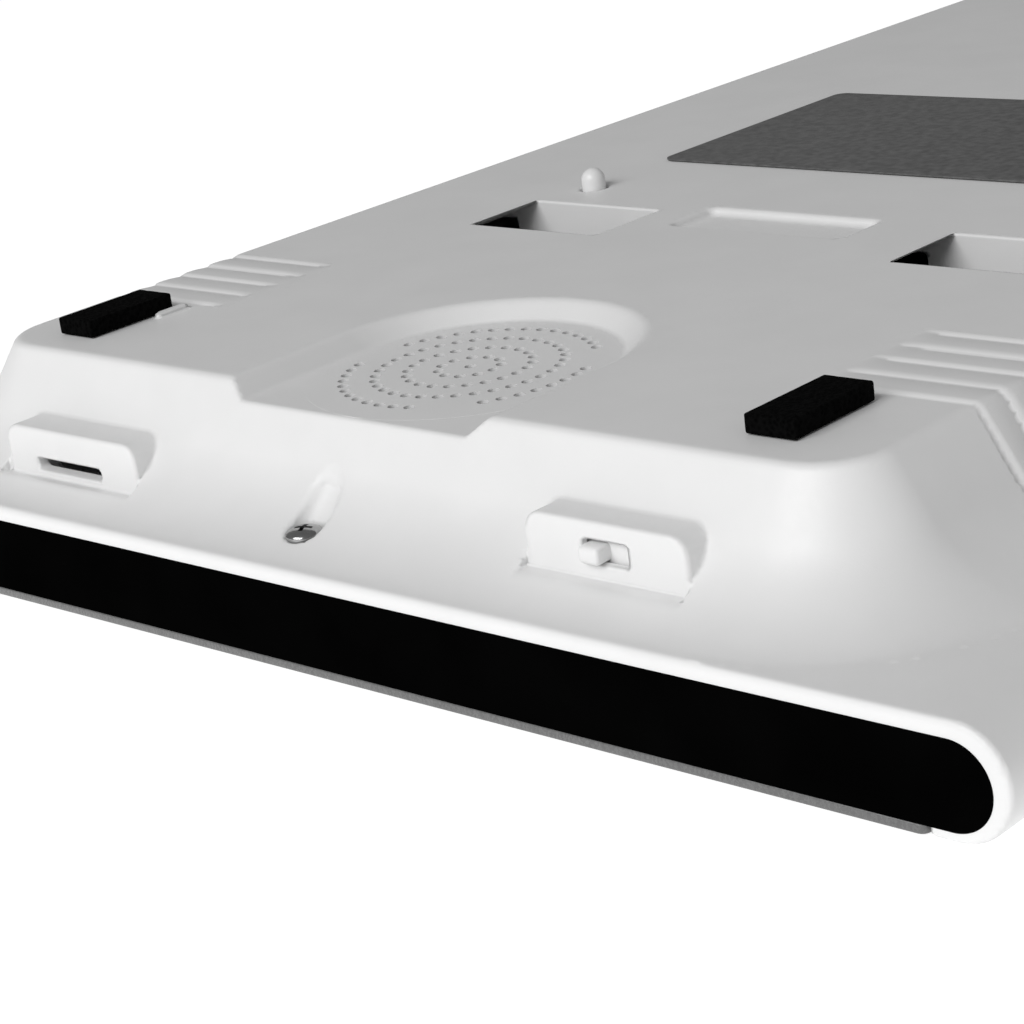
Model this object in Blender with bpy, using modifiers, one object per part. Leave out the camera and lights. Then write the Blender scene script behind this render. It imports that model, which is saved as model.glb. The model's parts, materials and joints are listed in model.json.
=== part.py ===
"""Wall-hung alarm keypad panel, lying on its front plate with its rear cover up.

Frame: +Z points out of the back, +Y to the panel's top end, +X to the right as seen with the bottom end nearest.
The origin is at the centre of the front plate's outer face. Every length below is in millimetres.
"""

import math

import bmesh
import bpy
from mathutils import Matrix, Vector

MM = 0.001
GAP = 0.3  # clearance between neighbouring pieces
SEAM = 0.2  # clearance where a seam shows

# Body
WIDTH = 124.0
LENGTH = 186.0
SLAB_TOP = 8.1  # height of the flat body below the raised back
SLAB_ROLL = 1.2  # radius along the slab's end edges
WALL = 2.0
BACK = 16.8  # height of the raised back
BACK_HALF_WIDTH = 43.8
BACK_END = 11.4  # from the slab's end to the raised back's edge
BACK_CORNER = 5.0
FLANK_RUN = 0.63  # run of the sloped flanks for each unit of fall
VALLEY_RADIUS = 10.0  # hollow curve from the flanks to the slab
CORNER_STEPS = 6

# Front
PLATE_HALF_WIDTH = 56.0
PLATE_THICK = 0.7
FRAME_Z = (1.1, 2.4)
OPENING_TOP = 6.2
END_WALL = (1.1, 2.3)  # end wall behind each end cap, measured from the slab's end
CAP_Z = (0.7, 6.6)
CAP_HALF_WIDTH = 60.8
CAP_DEPTH = (0.0, 0.9)
TONGUE_X = (-40.0, -14.0, 14.0, 40.0)
DISPLAY_X = (-38.5, 38.5)
DISPLAY_Y = (104.0, 168.0)
TOUCH_X = (-44.0, 44.0)
TOUCH_Y = (12.0, 92.0)

# Speaker recess and grille
RECESS_HALF_WIDTH = 13.4
RECESS_FLOOR_HALF_WIDTH = 11.75
RECESS_DEPTH = 1.4
RECESS_CENTRE = 23.4  # from the bottom end
RECESS_WALL = 1.7
GRILLE_RINGS = 4
GRILLE_PITCH = 2.42
GRILLE_PER_RING = 11
GRILLE_HOLE = 0.45
GRILLE_GAPS = (34.0, 180.0, 304.0)  # bearings where the outer ring is blank
GRILLE_GAP_HALF = 13.0
SPEAKER_RADIUS = 11.6

# Finger grooves
GROOVES = 5
GROOVE_START = 25.2
GROOVE_PITCH = 3.1
GROOVE_WIDTH = 1.8
GROOVE_DEPTH = 0.7
GROOVE_INNER = 31.0

# Hook slots, label recess, plunger
SLOT_X = ((-28.2, -13.4), (17.5, 32.3))
SLOT_Y = (53.4, 62.2)
SLOT_DEPTH = 5.5
SLOT_RIB = 1.2
LABEL_HALF_WIDTH = 9.2
LABEL_Y = (57.8, 64.8)
LABEL_DEPTH = 1.0
PLUNGER_AT = (-25.6, 67.2)
PLUNGER_TOP = 18.7
PLUNGER_RADIUS = 1.2
PLUNGER_TRAVEL = 1.2

# Bumps over the socket and the switch
BUMP_CORNER = 1.5
BUMP_DEPTH = 6.5  # far enough back to end inside the flank
BUMP_WALL = 1.0
NOTCH_INSET = 0.4  # the notch under each bump is this much narrower on each side
NOTCH_STEP = 0.07  # its floor lies this much above the bump's underside
NOTCH_HEIGHT = 2.4
USB_BUMP_X = (-35.7, -19.5)
USB_BUMP_Z = (8.3, 12.35)
USB_FACE = 5.5  # from the bottom end, as is SWITCH_FACE
USB_SLOT_X = (-32.1, -24.3)
USB_SLOT_Z = (8.75, 9.85)
USB_MOUTH = 7.4  # from the bottom end to the socket's mouth
USB_SOCKET = (7.5, 5.0, 2.4)
SWITCH_BUMP_X = (20.7, 34.8)
SWITCH_BUMP_Z = (8.9, 12.9)
SWITCH_FACE = 6.1
SWITCH_OPENING_X = (26.0, 29.6)
SWITCH_OPENING_Z = (10.2, 11.65)
SWITCH_BODY_X = (24.0, 31.6)
SWITCH_BODY_Y = (8.6, 12.6)
SWITCH_BODY_TOP = 11.7
SWITCH_ROOM_X = (23.2, 32.3)
SWITCH_ROOM_TOP = 12.1
KNOB_WIDTH = 1.4
KNOB_STANDS_OUT = 0.7
KNOB_COVER = 2.25  # how far its cover plate reaches past it on each side
KNOB_COVER_Y = (7.4, 7.8)
KNOB_COVER_Z = (9.7, 11.8)
KNOB_TRAVEL = 2.0
SOCKET_ROOM_END = 13.0  # how far the rooms for the socket and the switch reach

# Main board and what is on it
BOARD_X = 43.0
BOARD_Y = (10.0, 120.8)
BOARD_Z = (6.4, 8.0)
BOSSES = ((-40.0, 17.0), (40.0, 17.0), (-40.0, 114.0), (40.0, 114.0))
FRAME_SCREWS = [(x, y) for x in (-53.6, 53.6) for y in (12.0, LENGTH / 2, LENGTH - 12.0)]
COVER_SCREW_AT = (-0.2, 4.9)  # x, and y from either end
COVER_SCREW_HEAD_Z = (7.9, 8.75)
COVER_SCREW_HEAD_RADIUS = 1.3
COVER_SCREW_TIP = 3.4
SCOOP_RADIUS = 1.65

# Foam pads
PAD_SIZE = (4.1, 8.8, 1.4)
PAD_BOTTOM_LEFT = (-36.3, 18.9)
PAD_BOTTOM_RIGHT = (35.3, 19.2)
PAD_TOP = (36.0, 167.5)


def build_scene():
    for old in list(bpy.data.objects):
        bpy.data.objects.remove(old, do_unlink=True)
    panel = bpy.data.collections.new("alarm_keypad_panel")
    cutters = bpy.data.collections.new("cutters")
    for group in (panel, cutters):
        bpy.context.scene.collection.children.link(group)
    return panel, cutters


PANEL, CUTTERS = build_scene()
MATERIALS = {}


def material(name, colour, roughness, metallic=0.0):
    """A Principled material with one colour, made once."""
    if name not in MATERIALS:
        made = bpy.data.materials.new(name)
        made.use_nodes = True
        shader = made.node_tree.nodes["Principled BSDF"]
        shader.inputs["Base Color"].default_value = (*colour, 1.0)
        shader.inputs["Roughness"].default_value = roughness
        shader.inputs["Metallic"].default_value = metallic
        MATERIALS[name] = made
    return MATERIALS[name]


WHITE = material("white_abs", (0.80, 0.80, 0.79), 0.5)
BLACK = material("black_plastic", (0.012, 0.012, 0.012), 0.3)
DARK_ABS = material("dark_abs", (0.04, 0.04, 0.04), 0.6)
ACRYLIC = material("front_acrylic", (0.25, 0.26, 0.27), 0.12)
FOAM = material("black_foam", (0.008, 0.008, 0.008), 0.95)
STEEL = material("screw_steel", (0.55, 0.55, 0.56), 0.25, 1.0)
TIN = material("tinned_steel", (0.62, 0.62, 0.60), 0.35, 1.0)
BOARD_BLACK = material("board_black", (0.015, 0.016, 0.018), 0.45)
FLEX = material("flex_amber", (0.35, 0.16, 0.03), 0.4)
CHIP = material("chip_black", (0.02, 0.02, 0.02), 0.5)
PAPER_CONE = material("speaker_paper", (0.05, 0.05, 0.05), 0.8)
BATTERY = material("battery_foil", (0.45, 0.46, 0.48), 0.3, 0.6)
WIRE = material("wire_red", (0.45, 0.02, 0.02), 0.5)
LABEL = material("label_film", (0.25, 0.25, 0.25), 0.45)


def from_end(distance):
    """y of a point that lies this far from the bottom end."""
    return distance - LENGTH / 2


def mirrored(low_high):
    """The same stretch measured from the top end."""
    return (LENGTH - low_high[1], LENGTH - low_high[0])


def place(name, mesh, centre, finish, smooth=30.0):
    """Names a mesh's object and puts it in the panel, or among the cutters when it has no finish."""
    piece = bpy.data.objects.new(name, mesh)
    piece.location = Vector(centre) * MM
    if finish is None:
        piece.hide_render = True
        piece.display_type = "WIRE"
        CUTTERS.objects.link(piece)
        return piece
    mesh.materials.append(finish)
    mesh.shade_smooth()
    mesh.set_sharp_from_angle(angle=math.radians(smooth))
    PANEL.objects.link(piece)
    return piece


def mesh_of(bm, name):
    bmesh.ops.scale(bm, vec=(MM, MM, MM), verts=bm.verts)
    bmesh.ops.recalc_face_normals(bm, faces=bm.faces)
    mesh = bpy.data.meshes.new(name)
    bm.to_mesh(mesh)
    bm.free()
    return mesh


def box(name, x, y, z, finish=None, bevel=0.0):
    """A block between three pairs of limits, y measured from the bottom end."""
    sizes = [high - low for low, high in (x, y, z)]
    bm = bmesh.new()
    bmesh.ops.create_cube(bm, size=1.0, matrix=Matrix.Diagonal((*sizes, 1.0)))
    if bevel:
        bmesh.ops.bevel(bm, geom=bm.edges[:], offset=bevel, segments=2, profile=0.5, affect="EDGES")
    centre = (sum(x) / 2, from_end(sum(y) / 2), sum(z) / 2)
    return place(name, mesh_of(bm, name), centre, finish)


def cylinders(name, places, radius, z, finish=None, segments=20):
    """Equal upright cylinders, as one object, at (x, y from the bottom end)."""
    bm = bmesh.new()
    for x, y in places:
        matrix = Matrix.Translation((x, from_end(y), sum(z) / 2))
        bmesh.ops.create_cone(
            bm, cap_ends=True, segments=segments, radius1=radius, radius2=radius,
            depth=z[1] - z[0], matrix=matrix,
        )
    return place(name, mesh_of(bm, name), (0, 0, 0), finish)


def loft(name, rings, finish=None):
    """A closed solid through rings of equally many points, with y from the bottom end."""
    bm = bmesh.new()
    made = [[bm.verts.new((x, from_end(y), z)) for x, y, z in ring] for ring in rings]
    for lower, upper in zip(made, made[1:]):
        for i, corner in enumerate(lower):
            j = (i + 1) % len(lower)
            bm.faces.new((corner, lower[j], upper[j], upper[i]))
    bm.faces.new(made[0][::-1])
    bm.faces.new(made[-1])
    return place(name, mesh_of(bm, name), (0, 0, 0), finish)


def flat_outline(name, points, thickness):
    """Mesh of a 2D curve filled on both sides, thickness thick about z = 0."""
    curve = bpy.data.curves.new(name, "CURVE")
    curve.dimensions = "2D"
    curve.fill_mode = "BOTH"
    curve.extrude = thickness / 2 * MM
    line = curve.splines.new("POLY")
    line.points.add(len(points) - 1)
    for point, (u, v) in zip(line.points, points):
        point.co = (u * MM, v * MM, 0.0, 1.0)
    line.use_cyclic_u = True
    holder = bpy.data.objects.new(name, curve)
    bpy.context.scene.collection.objects.link(holder)
    graph = bpy.context.evaluated_depsgraph_get()
    mesh = bpy.data.meshes.new_from_object(holder.evaluated_get(graph))
    bpy.data.objects.remove(holder, do_unlink=True)
    bm = bmesh.new()
    bm.from_mesh(mesh)
    bmesh.ops.remove_doubles(bm, verts=bm.verts, dist=0.00001)
    bmesh.ops.recalc_face_normals(bm, faces=bm.faces)
    bm.to_mesh(mesh)
    bm.free()
    return mesh


def prism(name, points, axis, span, finish=None):
    """An outline swept along an axis: (x, y) along Z, (x, z) along Y or (y, z) along X, y from the bottom end."""
    low, high = span
    middle = (low + high) / 2
    if axis == "Z":
        turn = Matrix.Identity(4)
        centre = (0, 0, middle)
        points = [(x, from_end(y)) for x, y in points]
    elif axis == "Y":
        turn = Matrix.Rotation(math.pi / 2, 4, "X")
        centre = (0, from_end(middle), 0)
    else:
        turn = Matrix(((0, 0, 1, 0), (1, 0, 0, 0), (0, 1, 0, 0), (0, 0, 0, 1)))
        centre = (middle, 0, 0)
        points = [(from_end(y), z) for y, z in points]
    mesh = flat_outline(name, points, high - low)
    mesh.transform(turn)
    return place(name, mesh, centre, finish)


def turned(name, profile, at, finish=None, steps=24):
    """A turned piece about the upright axis through at, its (radius, z) profile running down its outer side."""
    mesh = bpy.data.meshes.new(name)
    points = [(radius * MM, 0.0, z * MM) for radius, z in profile]
    mesh.from_pydata(points, [(i, i + 1) for i in range(len(points) - 1)], [])
    piece = place(name, mesh, (at[0], from_end(at[1]), 0.0), finish)
    screw = piece.modifiers.new("Turn", "SCREW")
    screw.steps = steps
    screw.render_steps = steps
    screw.use_merge_vertices = True
    screw.merge_threshold = 0.00001
    return piece


def tube(name, points, radius, finish, resolution=2):
    """A wire along points, with y from the bottom end."""
    curve = bpy.data.curves.new(name, "CURVE")
    curve.dimensions = "3D"
    curve.bevel_depth = radius * MM
    curve.bevel_resolution = resolution
    curve.use_fill_caps = True
    line = curve.splines.new("POLY")
    line.points.add(len(points) - 1)
    for point, (x, y, z) in zip(line.points, points):
        point.co = (x * MM, from_end(y) * MM, z * MM, 1.0)
    curve.materials.append(finish)
    piece = bpy.data.objects.new(name, curve)
    PANEL.objects.link(piece)
    return piece


def combine(piece, other, operation):
    modifier = piece.modifiers.new(other.name, "BOOLEAN")
    modifier.operation = operation
    modifier.solver = "EXACT"
    modifier.object = other


def cut(piece, *others):
    for other in others:
        combine(piece, other, "DIFFERENCE")


def join(piece, *others):
    for other in others:
        combine(piece, other, "UNION")


def arc(centre, radius, start, end, steps):
    """Points on an arc, both ends included, angles in degrees."""
    angles = [math.radians(start + (end - start) * i / steps) for i in range(steps + 1)]
    return [(centre[0] + radius * math.cos(a), centre[1] + radius * math.sin(a)) for a in angles]


def rounded_rectangle(x, y, radius, steps=CORNER_STEPS):
    """Outline between two pairs of limits, anticlockwise from its right side."""
    corners = ((x[1] - radius, y[1] - radius), (x[0] + radius, y[1] - radius),
               (x[0] + radius, y[0] + radius), (x[1] - radius, y[0] + radius))
    points = []
    for quarter, corner in enumerate(corners):
        points += arc(corner, radius, 90 * quarter, 90 * quarter + 90, steps)
    return points


def stadium(half_width, z, steps=10):
    """Outline in x and z whose two sides are half circles."""
    radius = (z[1] - z[0]) / 2
    middle = (z[0] + z[1]) / 2
    side = half_width - radius
    return arc((side, middle), radius, -90, 90, steps) + arc((-side, middle), radius, 90, 270, steps)


def flank_spread(z):
    """How far the flank stands out from the raised back's edge at a height: straight, then a hollow curve."""
    tilt = math.atan(1.0 / FLANK_RUN)
    foot = SLAB_TOP + VALLEY_RADIUS * (1.0 - math.cos(tilt))
    if z >= foot:
        return (BACK - z) * FLANK_RUN
    middle = (BACK - foot) * FLANK_RUN + VALLEY_RADIUS * math.sin(tilt)
    rise = SLAB_TOP + VALLEY_RADIUS - z
    return middle - math.sqrt(VALLEY_RADIUS ** 2 - rise ** 2)


def back_ring(z, spread):
    """Section of the raised back at a height, standing out by spread from its top edge on every side."""
    half = BACK_HALF_WIDTH + spread
    end = BACK_END - spread
    outline = rounded_rectangle((-half, half), (end, LENGTH - end), BACK_CORNER + spread)
    return [(x, y, z) for x, y in outline]


def recess_ring(half_width, z, front):
    """Section of the speaker recess: straight sides, a half-circle end, and open towards the bottom end."""
    outline = arc((0.0, RECESS_CENTRE), half_width, 0, 180, 20) + [(-half_width, front), (half_width, front)]
    return [(x, y, z) for x, y in outline]


def slab():
    """The flat body: a stadium section run end to end, its end edges rolled over on the back side."""
    body = prism("rear_shell", stadium(WIDTH / 2, (0.0, SLAB_TOP)), "Y", (0.0, LENGTH), WHITE)
    r = SLAB_ROLL
    side_view = [(0.0, -1.0), (LENGTH, -1.0)]
    side_view += arc((LENGTH - r, SLAB_TOP - r), r, 0, 90, 4) + arc((r, SLAB_TOP - r), r, 90, 180, 4)
    combine(body, prism("keep_roll", side_view, "X", (-WIDTH, WIDTH)), "INTERSECT")
    return body


def bump(name, x, z, face):
    """A rounded housing that stands out of the bottom flank."""
    outline = rounded_rectangle(x, z, BUMP_CORNER, 4)
    return prism(name, outline, "Y", (face, face + BUMP_DEPTH))


def hook_ribs(name, x):
    """Walls that hang below a hook slot on three sides; the fourth side is open for the hook's toe."""
    z = (BACK - SLOT_DEPTH, BACK - WALL / 2)
    far = box(f"{name}_far", (x[0], x[1] + SLOT_RIB), (SLOT_Y[1], SLOT_Y[1] + SLOT_RIB), z)
    near = box(f"{name}_near", (x[0], x[1] + SLOT_RIB), (SLOT_Y[0] - SLOT_RIB, SLOT_Y[0]), z)
    side = box(f"{name}_side", (x[1], x[1] + SLOT_RIB + 0.1), (SLOT_Y[0] - 0.6, SLOT_Y[1] + 0.6), z)
    return far, near, side


def grille_holes():
    """Rings of small holes about a centre hole; the outer ring has three blank stretches."""
    places = [(0.0, RECESS_CENTRE)]
    for ring in range(1, GRILLE_RINGS + 1):
        count = GRILLE_PER_RING * ring
        for i in range(count):
            bearing = 360.0 * i / count
            apart = min(abs((bearing - blank + 180) % 360 - 180) for blank in GRILLE_GAPS)
            if ring == GRILLE_RINGS and apart < GRILLE_GAP_HALF:
                continue
            angle = math.radians(bearing)
            radius = GRILLE_PITCH * ring
            places.append((radius * math.cos(angle), RECESS_CENTRE + radius * math.sin(angle)))
    return places


def groove_bands():
    """Bands across both flanks, less a slightly smaller back, so that each cuts a groove of even depth."""
    inset = GROOVE_DEPTH * math.hypot(1.0, FLANK_RUN)
    levels = (5.0, BACK - GROOVE_DEPTH)
    inner = loft("groove_core", [back_ring(z, (BACK - z) * FLANK_RUN - inset) for z in levels])
    bands = []
    for side in (-1, 1):
        for i in range(GROOVES):
            y = GROOVE_START + i * GROOVE_PITCH
            x = sorted((side * GROOVE_INNER, side * WIDTH / 2))
            band = box(f"groove_{i}_{side}", x, (y, y + GROOVE_WIDTH), (SLAB_TOP + 1.6, BACK + 1.0))
            cut(band, inner)
            bands.append(band)
    return bands


def rear_shell():
    shell = slab()
    foot = SLAB_TOP + 0.25
    heights = (foot, 8.9, 9.6, 10.6, BACK)
    rings = [back_ring(SLAB_TOP - 0.8, flank_spread(foot))] + [back_ring(z, flank_spread(z)) for z in heights]
    join(shell, loft("raised_back", rings))
    bumps = (("usb", USB_BUMP_X, USB_BUMP_Z, USB_FACE), ("switch", SWITCH_BUMP_X, SWITCH_BUMP_Z, SWITCH_FACE))
    for name, x, z, face in bumps:
        notch_x = (x[0] + NOTCH_INSET, x[1] - NOTCH_INSET)
        notch_z = (z[0] + NOTCH_STEP, z[0] + NOTCH_HEIGHT)
        cut(shell, box(f"{name}_notch", notch_x, (-1.0, face + GAP), notch_z))
        join(shell, bump(f"{name}_bump", x, z, face))
    # Hollow from the front
    opening = (-PLATE_HALF_WIDTH - SEAM, PLATE_HALF_WIDTH + SEAM)
    inner_end = END_WALL[1]
    cut(shell, box("plate_pocket", opening, (-1.0, LENGTH + 1.0), (-1.0, CAP_Z[0])))
    cut(shell, box("frame_pocket", opening, (inner_end, LENGTH - inner_end), (0.4, OPENING_TOP)))
    side_hollow = stadium(WIDTH / 2 - 2.4, (1.8, OPENING_TOP))
    cut(shell, prism("side_hollow", side_hollow, "Y", (inner_end, LENGTH - inner_end)))
    inset = WALL * math.hypot(1.0, FLANK_RUN)
    levels = (OPENING_TOP - 0.3, BACK - WALL)
    cut(shell, loft("back_hollow", [back_ring(z, (BACK - z) * FLANK_RUN - inset) for z in levels]))
    # What stands inside
    join(shell, loft("recess_backing", [recess_ring(RECESS_HALF_WIDTH + WALL, z, 11.0)
                                        for z in (BACK - RECESS_DEPTH - RECESS_WALL, BACK - 0.5)]))
    for i, x in enumerate(SLOT_X):
        join(shell, *hook_ribs(f"hook_{i}", x))
    join(shell, cylinders("board_bosses", BOSSES, 2.6, (BOARD_Z[1] + SEAM, BACK - WALL / 2)))
    join(shell, cylinders("frame_bosses", FRAME_SCREWS, 2.2, (FRAME_Z[1] + SEAM, OPENING_TOP + 0.8)))
    join(shell, cylinders("plunger_guide", [PLUNGER_AT], 2.6, (BACK - 3.6, BACK - WALL / 2)))
    rib_x = (PAD_BOTTOM_LEFT[0] + PAD_SIZE[0] / 2 + GAP, PAD_BOTTOM_LEFT[0] + PAD_SIZE[0] / 2 + GAP + 0.8)
    join(shell, box("pad_rib", rib_x, (20.9, 24.3), (BACK - 0.5, BACK + 0.8)))
    # Openings from outside
    slope = (RECESS_HALF_WIDTH - RECESS_FLOOR_HALF_WIDTH) / RECESS_DEPTH
    sections = ((BACK - RECESS_DEPTH, RECESS_FLOOR_HALF_WIDTH), (BACK + 1.0, RECESS_HALF_WIDTH + slope))
    cut(shell, loft("speaker_recess", [recess_ring(half, z, -1.0) for z, half in sections]))
    cut(shell, cylinders("grille_holes", grille_holes(), GRILLE_HOLE, (BACK - 5.0, BACK + 1.0), segments=5))
    for i, x in enumerate(SLOT_X):
        cut(shell, box(f"hook_slot_{i}", x, SLOT_Y, (BACK - WALL - 2.0, BACK + 1.0)))
    label_sections = ((0.0, BACK - LABEL_DEPTH), (2.0, BACK + 1.0))
    cut(shell, loft("label_recess", [
        [(x, y, z) for x, y in rounded_rectangle(
            (-LABEL_HALF_WIDTH - grow, LABEL_HALF_WIDTH + grow), (LABEL_Y[0] - grow / 2, LABEL_Y[1] + grow), 1.0, 2)]
        for grow, z in label_sections]))
    cut(shell, *groove_bands())
    cut(shell, cylinders("plunger_bore", [PLUNGER_AT], PLUNGER_RADIUS + GAP, (8.5, BACK + 1.0)))
    # Socket, switch and screws
    foot = BOARD_Z[1] - 0.1
    through = (0.0, SOCKET_ROOM_END - 4.0)
    usb_room = (USB_SLOT_X[0] - GAP, USB_SLOT_X[1] + GAP)
    usb_top = BOARD_Z[1] + SEAM + USB_SOCKET[2] + GAP
    cut(shell, prism("usb_slot", rounded_rectangle(USB_SLOT_X, USB_SLOT_Z, 0.4, 2), "Y", through))
    cut(shell, box("usb_pocket", usb_room, (USB_MOUTH - GAP, SOCKET_ROOM_END), (foot, usb_top)))
    cut(shell, box("switch_opening", SWITCH_OPENING_X, through, SWITCH_OPENING_Z))
    switch_room = (SWITCH_FACE + BUMP_WALL, SOCKET_ROOM_END)
    cut(shell, box("switch_pocket", SWITCH_ROOM_X, switch_room, (foot, SWITCH_ROOM_TOP)))
    cut(shell, cylinders("board_pilots", BOSSES, 1.1, (BOARD_Z[1] - 1.0, BACK - WALL - 0.6), segments=12))
    cut(shell, cylinders("frame_pilots", FRAME_SCREWS, 1.1, (0.0, OPENING_TOP), segments=12))
    x, end = COVER_SCREW_AT
    ends = [(x, end), (x, LENGTH - end)]
    cut(shell, cylinders("cover_scoops", ends, SCOOP_RADIUS, (COVER_SCREW_HEAD_Z[0] - SEAM, BACK + 1.0)))
    cut(shell, cylinders("cover_pilots", ends, 1.1, (4.0, 10.0), segments=12))
    tongue_slots = [(x - 3.3, x + 3.3) for x in TONGUE_X]
    for name, span in (("bottom", (-1.0, END_WALL[0])), ("top", (LENGTH - END_WALL[0], LENGTH + 1.0))):
        pocket = stadium(CAP_HALF_WIDTH + SEAM, (CAP_Z[0] - SEAM, CAP_Z[1] + SEAM))
        cut(shell, prism(f"cap_pocket_{name}", pocket, "Y", span))
        inner = (0.0, 3.0) if name == "bottom" else (LENGTH - 3.0, LENGTH)
        for i, x in enumerate(tongue_slots):
            cut(shell, box(f"tongue_slot_{name}_{i}", x, inner, (3.0, 4.8)))
    return shell


def end_cap(name, at_top):
    """Black strip that closes one end, with three snap tongues."""
    def span(low, high):
        return mirrored((low, high)) if at_top else (low, high)

    cap = prism(name, stadium(CAP_HALF_WIDTH, CAP_Z), "Y", span(*CAP_DEPTH), BLACK)
    for i, x in enumerate(TONGUE_X):
        tongue = box(f"{name}_tongue_{i}", (x - 3.0, x + 3.0), span(CAP_DEPTH[1] - 0.3, 4.4), (3.3, 4.5))
        barb = box(f"{name}_barb_{i}", (x - 3.0, x + 3.0), span(2.7, 4.0), (3.6, 5.0))
        join(cap, tongue, barb)
    return cap


def front_plate():
    """Flat acrylic front; its touch keys and the display's window are behind it."""
    outline = rounded_rectangle((-PLATE_HALF_WIDTH, PLATE_HALF_WIDTH), (0.0, LENGTH), 0.6, 2)
    return prism("front_plate", outline, "Z", (0.0, PLATE_THICK), ACRYLIC)


def front_frame():
    """Sheet that the front plate is bonded to, with windows, and a boss at each end for a cover screw."""
    frame = box("front_frame", (-PLATE_HALF_WIDTH + 0.1, PLATE_HALF_WIDTH - 0.1), (2.6, LENGTH - 2.6), FRAME_Z, DARK_ABS)
    x, end = COVER_SCREW_AT
    for i, y in enumerate(((2.6, 7.6), mirrored((2.6, 7.6)))):
        join(frame, box(f"frame_boss_{i}", (x - 2.0, x + 2.0), y, (FRAME_Z[0] + 0.2, 5.9)))
    for name, wx, wy in (("display", DISPLAY_X, DISPLAY_Y), ("touch", TOUCH_X, TOUCH_Y)):
        window = (wx[0] - GAP, wx[1] + GAP), (wy[0] - GAP, wy[1] + GAP)
        cut(frame, box(f"{name}_window", *window, (0.0, 4.0)))
    cut(frame, cylinders("frame_screw_holes", FRAME_SCREWS, 1.2, (0.0, 4.0), segments=12))
    cut(frame, cylinders("frame_screw_sinks", FRAME_SCREWS, 2.1, (0.0, 1.9), segments=12))
    cut(frame, cylinders("frame_boss_pilots", [(x, end), (x, LENGTH - end)], 0.9, (3.0, 8.0), segments=12))
    return frame


def display_module():
    box("display_module", DISPLAY_X, DISPLAY_Y, (FRAME_Z[0], 4.2), BLACK, bevel=0.2)
    ribbon("display_flex", [(110.0, 4.6)] + bend(103.0, 5.3, 0.7) + [(110.0, 6.0)], (-10.0, 10.0))


def bend(y, z, radius):
    """Half circle open towards +Y, from below to above."""
    return [(y - radius * math.cos(a), z + radius * math.sin(a))
            for a in [math.radians(-90 + 180 * i / 8) for i in range(9)]]


def ribbon(name, path, x):
    """A flexible flat cable: a strip along (y, z) points, given its thickness by Solidify."""
    mesh = bpy.data.meshes.new(name)
    points = [(side * MM, from_end(y) * MM, z * MM) for y, z in path for side in x]
    faces = [(2 * i, 2 * i + 1, 2 * i + 3, 2 * i + 2) for i in range(len(path) - 1)]
    mesh.from_pydata(points, [], faces)
    piece = place(name, mesh, (0, 0, 0), FLEX)
    solid = piece.modifiers.new("Thickness", "SOLIDIFY")
    solid.thickness = 0.2 * MM
    solid.offset = 0.0
    return piece


def boards():
    touch = box("touch_board", TOUCH_X, TOUCH_Y, (FRAME_Z[0], 2.1), BOARD_BLACK)
    main = box("main_board", (-BOARD_X, BOARD_X), BOARD_Y, BOARD_Z, BOARD_BLACK)
    cut(main, cylinders("board_holes", BOSSES, 1.3, (5.0, 10.0), segments=12))
    ribbon("touch_flex", [(30.0, 2.5)] + bend(24.0, 4.25, 1.75) + [(30.0, 6.0)], (18.0, 30.0))
    top = BOARD_Z[1] + SEAM
    box("controller_chip", (-5.0, 5.0), (62.0, 72.0), (top, top + 1.4), CHIP, bevel=0.1)
    box("wifi_shield", (-14.0, 4.0), (82.0, 106.0), (top, top + 2.6), TIN, bevel=0.2)
    box("radio_shield", (16.0, 32.0), (78.0, 98.0), (top, top + 2.4), TIN, bevel=0.2)
    return touch, main


def usb_socket():
    """Folded steel shell of the charging socket, with its tongue."""
    x = sum(USB_SLOT_X) / 2
    width, depth, height = USB_SOCKET
    z = (BOARD_Z[1] + SEAM, BOARD_Z[1] + SEAM + height)
    outer = rounded_rectangle((x - width / 2, x + width / 2), z, 0.7, 2)
    socket = prism("usb_socket", outer, "Y", (USB_MOUTH, USB_MOUTH + depth), TIN)
    half = width / 2 - GAP
    inner = rounded_rectangle((x - half, x + half), (z[0] + GAP, z[1] - GAP), 0.5, 2)
    back = USB_MOUTH + depth - 0.5
    cut(socket, prism("usb_mouth", inner, "Y", (0.0, back)))
    tongue_z = (z[0] + 1.1, z[0] + 1.6)
    join(socket, box("usb_tongue", (x - half / 2, x + half / 2), (USB_MOUTH + 0.9, back + 0.2), tongue_z))
    return socket


def power_switch():
    """Slide switch on the board, and the knob that its opening shows."""
    body_z = (BOARD_Z[1] + SEAM, SWITCH_BODY_TOP)
    body = box("power_switch_body", SWITCH_BODY_X, SWITCH_BODY_Y, body_z, TIN)
    track = (SWITCH_OPENING_X[0] - 0.1, SWITCH_OPENING_X[1] + 0.1)
    cut(body, box("knob_track", track, (0.0, SWITCH_BODY_Y[0] + 1.8), (10.1, 11.2)))
    clearance = 0.15
    x = (SWITCH_OPENING_X[0] + clearance, SWITCH_OPENING_X[0] + clearance + KNOB_WIDTH)
    z = (SWITCH_OPENING_Z[0] + clearance, SWITCH_OPENING_Z[1] - clearance)
    knob_y = (SWITCH_FACE - KNOB_STANDS_OUT, KNOB_COVER_Y[1] - 0.1)
    knob = box("power_switch_knob", x, knob_y, z, WHITE, bevel=clearance)
    join(knob, box("knob_cover", (x[0] - KNOB_COVER, x[1] + KNOB_COVER), KNOB_COVER_Y, KNOB_COVER_Z))
    stem_y = (KNOB_COVER_Y[1] - 0.1, SWITCH_BODY_Y[0] + 1.5)
    join(knob, box("knob_stem", (x[0] + 0.2, x[1] - 0.2), stem_y, (10.4, 10.9)))
    return body


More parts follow.
